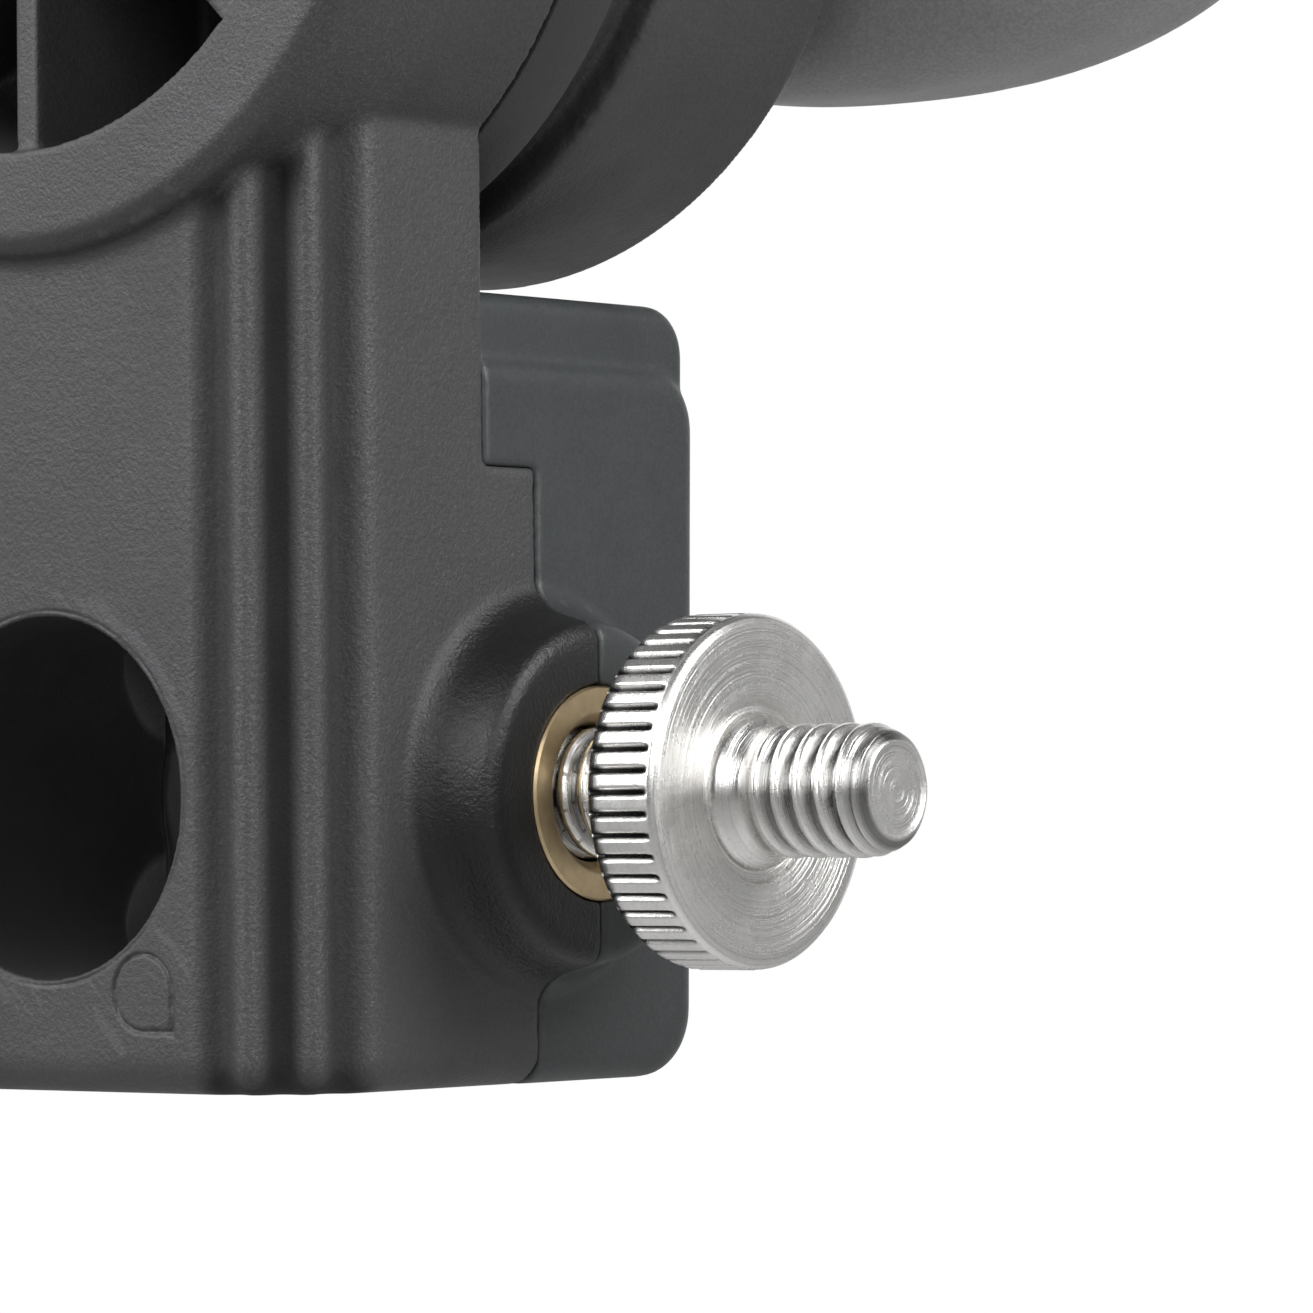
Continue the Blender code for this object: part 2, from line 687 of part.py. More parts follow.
def top_stud():
    """Reversible spigot with a locking waist and a quarter-inch thread on top."""
    waist_low = HEAD_TOP_Z - STUD_LOCK_Z - WAIST_HALF_LENGTH
    waist_high = HEAD_TOP_Z - STUD_LOCK_Z + WAIST_HALF_LENGTH
    slope = SPIGOT_R - SPIGOT_WAIST_R
    profile = [
        (0.0, SPIGOT_BOTTOM_Z), (SPIGOT_R - 1.0, SPIGOT_BOTTOM_Z),
        (SPIGOT_R, SPIGOT_BOTTOM_Z + 1.0),
        (SPIGOT_R, waist_low), (SPIGOT_WAIST_R, waist_low + slope),
        (SPIGOT_WAIST_R, waist_high - slope),
        (SPIGOT_R, waist_high), (SPIGOT_R, SPIGOT_TOP_Z - 1.0), (SPIGOT_R - 1.0, SPIGOT_TOP_Z),
        (STUD_THREAD_R, SPIGOT_TOP_Z), (STUD_THREAD_R, SPIGOT_THREAD_TOP_Z - TIP_CHAMFER),
        (STUD_THREAD_R - TIP_CHAMFER, SPIGOT_THREAD_TOP_Z), (0.0, SPIGOT_THREAD_TOP_Z),
    ]
    return turned(profile, "Z", (0.0, 0.0), MEDIUM)


# ---------------------------------------------------------------- tilt joint

def toothed_ring(outer_r, bore_r, flat_y, face_y, direction, phase):
    """Flat plate whose face at face_y carries radial teeth that point along direction (1 or -1).

    Phase 0 puts a crest on the +X axis and phase 1 a valley, so one ring of each kind can mesh.
    """
    count = 2 * TOOTH_COUNT
    step = 2 * math.pi / count
    low = face_y + direction * TOOTH_ROOT
    high = face_y + direction * TOOTH_HEIGHT

    def ring(radius, along):
        points = []
        for i in range(count):
            y = along if isinstance(along, float) else along[i % 2]
            up = HUB_Z + radius * math.sin(step * i)
            points.append(Vector((radius * math.cos(step * i), y, up)))
        return points

    teeth = (low, high) if phase else (high, low)
    rings = [
        ring(bore_r, flat_y), ring(outer_r, flat_y), ring(outer_r, face_y), ring(TOOTH_OUTER_R, face_y),
        ring(TOOTH_OUTER_R, teeth), ring(TOOTH_INNER_R, teeth), ring(TOOTH_INNER_R, face_y),
        ring(bore_r, face_y),
    ]
    bm = bmesh.new()
    rows = [[bm.verts.new(p) for p in row] for row in rings]
    for near, far in zip(rows, rows[1:] + rows[:1]):
        for i in range(count):
            j = (i + 1) % count
            bm.faces.new((near[i], near[j], far[j], far[i]))
    return finish_mesh(bm, "toothed_ring")


def fixed_tooth_plate():
    return toothed_ring(HUB_R, SPRING_POCKET_R, PLATE_BACK_Y + GAP, PLATE_FRONT_Y, 1, 0)


def moving_tooth_ring():
    return toothed_ring(SEAT_R, SPRING_POCKET_R, DISC_FRONT_Y + SEAT_DEPTH, DISC_FRONT_Y, -1, 1)


def coil(radius, wire, start_y, end_y, turns, name):
    """Round wire wound about the tilt axis, with flat ends."""
    samples = 14 * turns
    sides = 8
    rings = []
    for i in range(samples + 1):
        share = i / samples
        angle = 2 * math.pi * turns * share
        rise = (end_y - start_y - 2 * wire) * share
        outward = Vector((math.cos(angle), 0, math.sin(angle)))
        centre = outward * radius + Vector((0, start_y + wire + rise, HUB_Z))
        ring = []
        for k in range(sides):
            spin = 2 * math.pi * k / sides
            across = Vector((0, wire * math.sin(spin), 0))
            ring.append(centre + outward * wire * math.cos(spin) + across)
        rings.append(ring)
    return loft(rings, name)


def release_spring():
    start = PLATE_BACK_Y + GAP
    end = DISC_FRONT_Y + SPRING_POCKET_DEPTH - GAP
    return coil(SPRING_R, SPRING_WIRE_R, start, end, SPRING_TURNS, "release_spring")


def tilt_bolt():
    hexagon = circle(BOLT_HEAD_AF / math.sqrt(3), 6, (0.0, HUB_Z))
    head = prism(hexagon, "Y", BOLT_HEAD_FRONT_Y, BOLT_HEAD_BACK_Y)
    shank_profile = [
        (0.0, BOLT_HEAD_BACK_Y - 2), (BOLT_R, BOLT_HEAD_BACK_Y - 2), (BOLT_R, BOLT_END_Y - 0.8),
        (BOLT_R - 0.8, BOLT_END_Y), (0.0, BOLT_END_Y),
    ]
    return union(head, turned(shank_profile, "Y", (0.0, HUB_Z), COARSE))


def thrust_washer():
    profile = [
        (BOLT_BORE_R, WASHER_FRONT_Y), (WASHER_R, WASHER_FRONT_Y), (WASHER_R, WASHER_BACK_Y),
        (BOLT_BORE_R, WASHER_BACK_Y),
    ]
    return turned(profile, "Y", (0.0, HUB_Z), MEDIUM)


def spline_outline(clearance):
    """Outline with square-sided splines, widened by a clearance."""
    points = []
    step = 360 / SPLINE_COUNT
    for i in range(SPLINE_COUNT):
        for offset, radius in SPLINE_SHAPE:
            angle = math.radians(step * i + offset)
            reach = radius + clearance
            points.append((reach * math.cos(angle), HUB_Z + reach * math.sin(angle)))
    return points


def lever_insert():
    """Steel clamp nut with a flange and a splined barrel."""
    barrel = prism(spline_outline(0.0), "Y", INSERT_BARREL_Y - 0.5, INSERT_END_Y)
    flange = cylinder("Y", (0.0, HUB_Z), INSERT_FLANGE_R, INSERT_FLANGE_Y, INSERT_BARREL_Y)
    union(barrel, flange)
    hub = (0.0, HUB_Z)
    bore_start, tap_end = INSERT_FLANGE_Y - OVERRUN, INSERT_END_Y + OVERRUN
    cut(barrel, cylinder("Y", hub, BOLT_BORE_R, bore_start, INSERT_BORE_END_Y, COARSE))
    tap_r = CAP_SCREW_R + SCREW_FIT
    return cut(barrel, cylinder("Y", hub, tap_r, INSERT_BORE_END_Y - OVERRUN, tap_end, SMALL))


def lever_handle():
    """Oval paddle with a collar, a splined bore and a pocket for the cap screw."""
    count = 48
    outline = []
    for i in range(count):
        angle = 2 * math.pi * i / count
        outline.append((
            PADDLE_CENTRE_X + PADDLE_HALF_LENGTH * math.cos(angle),
            HUB_Z + PADDLE_HALF_HEIGHT * math.sin(angle),
        ))
    paddle = prism(outline, "Y", PADDLE_FRONT_Y, PADDLE_BACK_Y)
    bm = bmesh.new()
    bm.from_mesh(paddle.data)
    rim = [e for e in bm.edges if abs(e.verts[0].co.y - e.verts[1].co.y) < 0.001]
    bmesh.ops.bevel(
        bm, geom=rim, offset=PADDLE_ROUND, segments=4, profile=0.5, affect="EDGES", clamp_overlap=True
    )
    bm.to_mesh(paddle.data)
    bm.free()
    hub = (0.0, HUB_Z)
    union(paddle, cylinder("Y", hub, COLLAR_R, COLLAR_FRONT_Y, PADDLE_FRONT_Y + OVERRUN))
    cut(paddle, cylinder("Y", hub, SLEEVE_R, COLLAR_FRONT_Y - OVERRUN, HANDLE_SPLINE_Y))
    cut(paddle, prism(spline_outline(SPLINE_FIT), "Y", HANDLE_SPLINE_Y - 1, HANDLE_SHOULDER_Y))
    cut(paddle, cylinder("Y", hub, HANDLE_POCKET_R, HANDLE_POCKET_Y, PADDLE_BACK_Y + OVERRUN, COARSE))
    return cut(paddle, cylinder("Y", hub, HANDLE_HOLE_R, HANDLE_SPLINE_Y, PADDLE_BACK_Y, SMALL))


def lever_screw():
    profile = [
        (0.0, INSERT_BORE_END_Y + GAP), (CAP_SCREW_R, INSERT_BORE_END_Y + GAP),
        (CAP_SCREW_R, CAP_HEAD_FRONT_Y),
        (CAP_HEAD_R, CAP_HEAD_FRONT_Y), (CAP_HEAD_R, CAP_HEAD_BACK_Y - 0.5),
        (CAP_HEAD_R - 0.5, CAP_HEAD_BACK_Y),
        (0.0, CAP_HEAD_BACK_Y),
    ]
    screw = turned(profile, "Y", (0.0, HUB_Z), COARSE)
    socket = circle(CAP_SOCKET_R, 6, (0.0, HUB_Z))
    return cut(screw, prism(socket, "Y", CAP_HEAD_FRONT_Y + GAP, CAP_HEAD_BACK_Y + OVERRUN))


def lever_spring():
    start, end = HANDLE_POCKET_Y + SCREW_FIT, CAP_HEAD_FRONT_Y - SCREW_FIT
    return coil(LEVER_SPRING_R, LEVER_WIRE_R, start, end, LEVER_TURNS, "lever_spring")


# ---------------------------------------------------------------- assembly

def build():
    clear_scene()
    materials = make_materials()
    head_lock_z = HEAD_TOP_Z - STUD_LOCK_Z
    tilt = joint_empty("tilt_axis", (0, 0, HUB_Z))
    stand_travel = joint_empty("stand_lock_axis", (PAD_START_X, 0, STAND_LOCK_Z))
    stud_travel = joint_empty("stud_lock_axis", (PAD_START_X, 0, head_lock_z), tilt)
    umbrella_point = (0, -UMBRELLA_BORE_R, HEAD_TOP_Z - UMBRELLA_Z)
    umbrella_travel = joint_empty("umbrella_lock_axis", umbrella_point, tilt)
    spigot_axis = joint_empty("spigot_axis", (0, 0, SPIGOT_BOTTOM_Z), tilt)
    lever_axis = joint_empty("lever_axis", (0, WASHER_FRONT_Y, HUB_Z))

    grained = materials["grained_plastic"]
    smooth = materials["smooth_plastic"]
    brass = materials["brass"]
    nickel = materials["nickel"]
    steel = materials["steel"]
    black = materials["black_steel"]

    finish_piece(front_body_half(), "front_body_half", grained)
    finish_piece(rear_body_half(), "rear_body_half", smooth)
    finish_piece(fixed_tooth_plate(), "fixed_tooth_plate", smooth)
    finish_piece(release_spring(), "release_spring", steel)
    finish_piece(tilt_bolt(), "tilt_bolt", black)
    finish_piece(brass_insert(STAND_LOCK_Z), "stand_lock_insert", brass)
    finish_piece(clamp_pad(STAND_LOCK_Z), "stand_lock_pad", brass, stand_travel)
    finish_piece(double_screw(STAND_LOCK_Z), "stand_lock_screw", nickel, stand_travel)

    finish_piece(arm_body(), "arm_body", grained, tilt)
    finish_piece(arm_cap(), "arm_cap", smooth, tilt)
    finish_piece(moving_tooth_ring(), "moving_tooth_ring", smooth, tilt)
    finish_piece(brass_insert(head_lock_z), "stud_lock_insert", brass, tilt)
    finish_piece(clamp_pad(head_lock_z), "stud_lock_pad", brass, stud_travel)
    finish_piece(double_screw(head_lock_z), "stud_lock_screw", nickel, stud_travel)
    finish_piece(umbrella_insert(), "umbrella_lock_insert", brass, tilt)
    finish_piece(umbrella_pad(), "umbrella_lock_pad", brass, umbrella_travel)
    finish_piece(thumb_screw(), "umbrella_lock_screw", nickel, umbrella_travel)
    finish_piece(top_stud(), "top_stud", brass, spigot_axis)

    finish_piece(thrust_washer(), "thrust_washer", steel, lever_axis)
    finish_piece(lever_insert(), "lever_insert", steel, lever_axis)
    finish_piece(lever_handle(), "lever_handle", materials["lever_plastic"], lever_axis)
    finish_piece(lever_spring(), "lever_spring", steel, lever_axis)
    finish_piece(lever_screw(), "lever_screw", black, lever_axis)

    places = [(x, z) for x in (-BODY_SCREW_X, BODY_SCREW_X) for z in STAND_SCREW_Z]
    for number, (x, z) in enumerate(places, 1):
        finish_piece(body_screw(x, z), f"body_screw_{number}", black)
    places = [(x, z) for x in (-BODY_SCREW_X, BODY_SCREW_X) for z in HEAD_SCREW_Z]
    for number, (x, z) in enumerate(places, 1):
        finish_piece(place(body_screw(x, z), HEAD_TURN), f"head_screw_{number}", black, tilt)


build()
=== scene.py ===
"""Looks of the umbrella swivel bracket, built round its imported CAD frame.

Shapes are made in millimetres, in the row's frame, and become metres when a piece is finished.
"""

import json
import math

import bmesh
import bpy
import numpy as np
from mathutils import Matrix, Vector, noise

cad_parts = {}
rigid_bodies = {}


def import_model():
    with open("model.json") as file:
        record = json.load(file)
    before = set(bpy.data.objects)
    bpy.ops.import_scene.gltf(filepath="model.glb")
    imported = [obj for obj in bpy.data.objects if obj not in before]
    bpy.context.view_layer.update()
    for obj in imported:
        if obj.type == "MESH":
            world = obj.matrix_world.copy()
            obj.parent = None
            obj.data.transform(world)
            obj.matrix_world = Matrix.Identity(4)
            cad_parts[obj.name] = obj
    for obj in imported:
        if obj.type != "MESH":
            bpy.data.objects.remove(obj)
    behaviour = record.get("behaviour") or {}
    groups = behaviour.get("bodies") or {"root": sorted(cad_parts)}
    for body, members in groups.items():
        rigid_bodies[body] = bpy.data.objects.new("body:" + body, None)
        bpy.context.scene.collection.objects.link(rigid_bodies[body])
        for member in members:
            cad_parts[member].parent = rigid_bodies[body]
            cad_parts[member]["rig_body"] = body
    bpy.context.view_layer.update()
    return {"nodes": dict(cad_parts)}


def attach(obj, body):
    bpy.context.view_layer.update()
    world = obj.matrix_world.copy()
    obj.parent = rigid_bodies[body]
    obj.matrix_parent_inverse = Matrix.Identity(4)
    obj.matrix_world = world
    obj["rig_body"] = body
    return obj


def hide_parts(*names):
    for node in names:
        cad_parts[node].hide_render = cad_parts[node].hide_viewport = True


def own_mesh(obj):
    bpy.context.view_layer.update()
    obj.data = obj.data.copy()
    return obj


MM = 0.001
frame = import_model()
VOXEL = 0.21
ROUND = 224

# ------------------------------------------------------------------ dimensions
# They are the CAD's, in millimetres and degrees, but for the disc's ledge and the rim of the tooth plate,
# which the CAD leaves out, and the seam, which is finer here.

HALF_WIDTH, FRONT_Y, REAR_Y = 15.9, -17.9, 12.8
CORNER_R = 6.4
FLUTES = ((11.0, 0.85), (40.5, 1.25), (70.0, 0.85))
FLUTE_PITCH = 29.5
BOTTOM_FILLET = 1.7
STEP_Z, PLATE_BACK_Y = 29.7, -3.9
SEAM, DRAFT = 0.04, 0.65
LOWER_TOP, UPPER_TOP, TIER_INSET = 35.3, 38.2, 0.5
HUB_Z, HUB_R = 63.5, 23.75
RING_Y, RING_OUTER, RING_INNER = -19.4, 22.9, 18.8
CAVITY_Y, CORE_R, RIB_Y, RIB_COUNT, RIB_WIDE = -7.0, 9.3, -18.7, 8, 1.4
DISC_R, DISC_FRONT, DISC_BACK, LEDGE_R, LEDGE_DEEP = 23.3, 2.5, 17.0, 21.6, 1.4
PLATE_RIM, TEETH = 1.2, 24
SOCKET_R, SOCKET_DEPTH, HEAD_SOCKET_DEPTH, CROSS_R = 8.25, 33.0, 21.0, 8.6
STAND_LOCK_Z, STUD_LOCK_Z, HEAD_TOP = 14.0, 12.5, 127.0
UMBRELLA_Z, UMBRELLA_R = 29.5, 5.0
SCREW_X, STAND_SCREWS, HEAD_SCREWS = 12.2, (5.5, 26.5), (4.6, 20.8)
BOSS_END = 19.8
BOLT_R, BOLT_BORE, BOLT_PITCH, HEX_WIDE = 3.95, 4.2, 1.25, 13.0
LEVER_X, LEVER_A, LEVER_B = 14.9, 25.3, 13.5
LEVER_FRONT, LEVER_BACK, LEVER_ROUND = 24.0, 36.0, 4.2
THREAD_R, THREAD_PITCH = 3.15, 1.27
KNOB_R, THUMB_R, KNURLS = 8.4, 7.2, 51
KNOB_SPAN, KNOB_MIDDLE, THUMB_SPAN = (25.45, 29.05), 27.4, (20.6, 27.55)
SPIGOT_R, SPIGOT_TOP, TIP_TOP = 7.9, 141.0, 149.95
HUB = (0.0, HUB_Z)


# ------------------------------------------------------------------ mesh helpers

def new_object(mesh, name):
    obj = bpy.data.objects.new(name, mesh)
    bpy.context.scene.collection.objects.link(obj)
    return obj


def from_arrays(verts, faces, name):
    mesh = bpy.data.meshes.new(name)
    mesh.from_pydata([tuple(v) for v in verts], [], faces)
    bm = bmesh.new()
    bm.from_mesh(mesh)
    bmesh.ops.recalc_face_normals(bm, faces=bm.faces)
    bm.to_mesh(mesh)
    bm.free()
    return new_object(mesh, name)


def on_axis(axis, across, up, along):
    if axis == "X":
        return (along, across, up)
    if axis == "Y":
        return (across, along, up)
    return (across, up, along)


def loft(rings, closed=False):
    """Skin through rings of equal count, capped at both ends or closed on itself."""
    count = len(rings[0])
    verts = [p for ring in rings for p in ring]
    faces = []
    rows = len(rings)
    for a in range(rows if closed else rows - 1):
        b = (a + 1) % rows
        for i in range(count):
            j = (i + 1) % count
            faces.append((a * count + i, a * count + j, b * count + j, b * count + i))
    if not closed:
        faces.append(tuple(reversed(range(count))))
        faces.append(tuple(range((rows - 1) * count, rows * count)))
    return from_arrays(verts, faces, "loft")


def prism(outline, axis, low, high):
    return loft([[on_axis(axis, u, v, t) for u, v in outline] for t in (low, high)])


def circle(radius, count, centre):
    points = []
    for i in range(count):
        angle = 2 * math.pi * i / count
        points.append((centre[0] + radius * math.cos(angle), centre[1] + radius * math.sin(angle)))
    return points


def hexagon(wide):
    """Six corners round the hub, from the width across flats."""
    return circle(wide / math.sqrt(3), 6, HUB)


def cylinder(axis, centre, radius, low, high, count=96):
    return prism(circle(radius, count, centre), axis, low, high)


def box(low, high):
    outline = [(low[0], low[1]), (high[0], low[1]), (high[0], high[1]), (low[0], high[1])]
    return prism(outline, "Z", low[2], high[2])


def turned(profile, axis, centre, count=ROUND, radius_at=None):
    """Solid of revolution from (radius, along) points. radius_at(radius, along, angle) may vary it."""
    verts, faces, rows = [], [], []
    for radius, along in profile:
        if radius == 0:
            rows.append([len(verts)])
            verts.append(on_axis(axis, centre[0], centre[1], along))
            continue
        row = []
        for i in range(count):
            angle = 2 * math.pi * i / count
            r = radius_at(radius, along, angle) if radius_at else radius
            row.append(len(verts))
            across, up = centre[0] + r * math.cos(angle), centre[1] + r * math.sin(angle)
            verts.append(on_axis(axis, across, up, along))
        rows.append(row)
    for low, high in zip(rows, rows[1:] + rows[:1]):
        if len(low) == 1 and len(high) == 1:
            continue
        for i in range(count):
            j = (i + 1) % count
            corners = (low[i % len(low)], low[j % len(low)], high[j % len(high)], high[i % len(high)])
            faces.append(tuple(dict.fromkeys(corners)))
    return from_arrays(verts, faces, "turned")


def rounded(profile, radius, steps=4):
    """A profile with its inner corners rounded; the ends stay."""
    out = [profile[0]]
    for before, here, after in zip(profile, profile[1:], profile[2:]):
        a, b, c = Vector(before), Vector(here), Vector(after)
        one, two = a - b, c - b
        reach = min(radius, one.length * 0.45, two.length * 0.45)
        start, end = b + one.normalized() * reach, b + two.normalized() * reach
        for i in range(steps + 1):
            t = i / steps
            out.append(tuple(start * (1 - t) ** 2 + b * 2 * t * (1 - t) + end * t * t))
    out.append(profile[-1])
    return out


def combine(base, tools, operation):
    """Exact boolean with each tool in turn; the tools are used up."""
    for tool in tools:
        modifier = base.modifiers.new("bool", "BOOLEAN")
        modifier.operation = operation
        modifier.solver = "EXACT"
        modifier.object = tool
        graph = bpy.context.evaluated_depsgraph_get()
        mesh = bpy.data.meshes.new_from_object(base.evaluated_get(graph))
        base.modifiers.clear()
        base.data = mesh
        bpy.data.objects.remove(tool)
        bm = bmesh.new()
        bm.from_mesh(mesh)
        bmesh.ops.remove_doubles(bm, verts=bm.verts, dist=0.002)
        bmesh.ops.dissolve_degenerate(bm, edges=bm.edges, dist=0.002)
        bm.to_mesh(mesh)
        bm.free()
    return base


def union(base, *tools):
    return combine(base, tools, "UNION")


def cut(base, *tools):
    return combine(base, tools, "DIFFERENCE")


def coords(obj):
    co = np.zeros(len(obj.data.vertices) * 3)
    obj.data.vertices.foreach_get("co", co)
    return co.reshape(-1, 3)


def put(obj, co):
    obj.data.vertices.foreach_set("co", co.reshape(-1))
    obj.data.update()


def relax(obj, passes, mask=None, step=0.5):
    """Laplacian smoothing of every point, or of the points in mask."""
    co = coords(obj)
    edges = np.zeros(len(obj.data.edges) * 2, np.int64)
    obj.data.edges.foreach_get("vertices", edges)
    a, b = edges[0::2], edges[1::2]
    weight = np.bincount(a, minlength=len(co)) + np.bincount(b, minlength=len(co))
    gain = step if mask is None else step * mask[:, None]
    for _ in range(passes):
        total = np.zeros_like(co)
        for k in range(3):
            total[:, k] = np.bincount(a, co[b, k], len(co)) + np.bincount(b, co[a, k], len(co))
        co += gain * (total / np.maximum(weight, 1)[:, None] - co)
    put(obj, co)
    return obj


def soften(obj, voxel=VOXEL, passes=2):
    """Moulded look: an even mesh with its edges eased."""
    modifier = obj.modifiers.new("remesh", "REMESH")
    modifier.mode = "VOXEL"
    modifier.voxel_size = voxel
    graph = bpy.context.evaluated_depsgraph_get()
    mesh = bpy.data.meshes.new_from_object(obj.evaluated_get(graph))
    obj.modifiers.clear()
    obj.data = mesh
    return relax(obj, passes)


def refine(obj, inside):
    """Divides the faces whose centres are inside a region, for fine marks."""
    bm = bmesh.new()
    bm.from_mesh(obj.data)
    chosen = [f for f in bm.faces if inside(f.calc_center_median())]
    edges = list({e for f in chosen for e in f.edges})
    bmesh.ops.subdivide_edges(bm, edges=edges, cuts=1, use_grid_fill=True)
    bm.to_mesh(obj.data)
    bm.free()


def wander(points, scale, seed):
    """Smooth noise from -1 to 1 at each point."""
    offset = Vector((seed * 7.1, seed * 3.3, seed * 5.7))
    return np.array([noise.noise(Vector(p) * scale + offset) for p in points])


def finish(obj, name, node, material):
    """Metres, material and shading; the piece rides its CAD node's body and replaces the node."""
    obj.name = name
    obj.data.name = name
    obj.data.transform(Matrix.Scale(MM, 4))
    obj.data.materials.clear()
    obj.data.materials.append(material)
    obj.data.shade_smooth()
    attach(obj, frame["nodes"][node]["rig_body"])
    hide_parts(node)
    return obj


def sharpen(obj, angle=35):
    obj.data.set_sharp_from_angle(angle=math.radians(angle))
    return obj


# ------------------------------------------------------------------ materials

class Nodes:
    """Short way to write a node material."""

    def __init__(self, name):
        self.material = bpy.data.materials.new(name)
        self.material.use_nodes = True
        self.tree = self.material.node_tree
        self.shader = self.tree.nodes["Principled BSDF"]
        self.place = self.add("ShaderNodeTexCoord").outputs["Object"]

    def add(self, kind, **values):
        node = self.tree.nodes.new(kind)
        for key, value in values.items():
            if hasattr(node, key):
                setattr(node, key, value)
            else:
                node.inputs[key.replace("_", " ")].default_value = value
        return node

    def link(self, a, b):
        self.tree.links.new(a, b)
        return b

    def noise(self, scale, detail, rough):
        node = self.add("ShaderNodeTexNoise", Scale=scale, Detail=detail, Roughness=rough)
        self.link(self.place, node.inputs["Vector"])
        return node.outputs["Fac"]

    def spread(self, value, low, high, to_low, to_high):
        node = self.add("ShaderNodeMapRange", clamp=True)
        for socket, number in zip(node.inputs[1:5], (low, high, to_low, to_high)):
            socket.default_value = number
        self.link(value, node.inputs[0])
        return node.outputs[0]

    def mix(self, factor, a, b):
        node = self.add("ShaderNodeMix", data_type="RGBA")
        for socket, value in ((node.inputs[0], factor), (node.inputs[6], a), (node.inputs[7], b)):
            if isinstance(value, bpy.types.NodeSocket):
                self.link(value, socket)
            elif isinstance(value, tuple):
                socket.default_value = (*value, 1.0)
            else:
                socket.default_value = value
        return node.outputs[2]

    def math(self, operation, a, b=0.0):
        node = self.add("ShaderNodeMath", operation=operation)
        for socket, value in zip(node.inputs, (a, b)):
            if isinstance(value, bpy.types.NodeSocket):
                self.link(value, socket)
            else:
                socket.default_value = value
        return node.outputs[0]

    def bump(self, height, distance, strength=1.0, under=None):
        node = self.add("ShaderNodeBump", Strength=strength, Distance=distance)
        self.link(height, node.inputs["Height"])
        if under:
            self.link(under, node.inputs["Normal"])
        return node.outputs["Normal"]

    def axes(self):
        split = self.add("ShaderNodeSeparateXYZ")
        self.link(self.place, split.inputs[0])
        return split.outputs

    def times(self, a, b):
        return self.math("MULTIPLY", a, b)

    def flip(self, value):
        return self.times(value, -1.0)

    def span(self, a, b):
        """Distance from the origin of a plane."""
        return self.math("SQRT", self.math("ADD", self.times(a, a), self.times(b, b)))

    def above(self, value, edge, soft):
        """Rises from 0 to 1 where a length passes an edge, both in millimetres."""
        return self.spread(value, (edge - soft / 2) * MM, (edge + soft / 2) * MM, 0.0, 1.0)

    def set(self, **values):
        for key, value in values.items():
            socket = self.shader.inputs[key.replace("_", " ")]
            if isinstance(value, bpy.types.NodeSocket):
                self.link(value, socket)
            elif isinstance(value, tuple):
                socket.default_value = (*value, 1.0) if len(value) == 3 else value
            else:
                socket.default_value = value
        return self.material

    def edge(self, low=0.5, high=0.62):
        """Share of worn edge, from how sharply the surface turns."""
        point = self.add("ShaderNodeNewGeometry").outputs["Pointiness"]
        return self.spread(point, low, high, 0.0, 1.0)


def plastic(name, colour, dusty, rough, grain, marks=None, worn=0.4):
    """Moulded plastic: fine spark grain, faint cloudiness and, unless worn is 0, paler rubbed edges."""
    n = Nodes(name)
    speck = n.noise(5200, 3.0, 0.65)
    cloud = n.noise(95, 3.0, 0.55)
    fine = n.spread(speck, 0.35, 0.68, 0.0, 1.0)
    base = n.mix(n.spread(cloud, 0.3, 0.7, 0.0, 1.0), colour, dusty)
    base = n.mix(n.times(fine, 0.35), base, tuple(1.9 * c for c in dusty))
    base = n.mix(n.times(n.edge(0.515, 0.6), worn), base, tuple(2.2 * c for c in dusty))
    rub = n.spread(n.noise(240, 4.0, 0.6), 0.3, 0.75, rough - 0.06, rough + 0.08)
    swell = n.bump(n.noise(420, 2.0, 0.5), 0.00006, 0.5)
    height = n.bump(n.math("ADD", speck, n.times(n.noise(2400, 2.0, 0.5), 0.6)), grain, 1.0, swell)
    # the marks may paint shade into the colour as well as marks
    if marks:
        base, rub = marks(n, base, rub, colour)
    return n.set(Base_Color=base, Roughness=rub, Normal=height, Specular_IOR_Level=0.5)


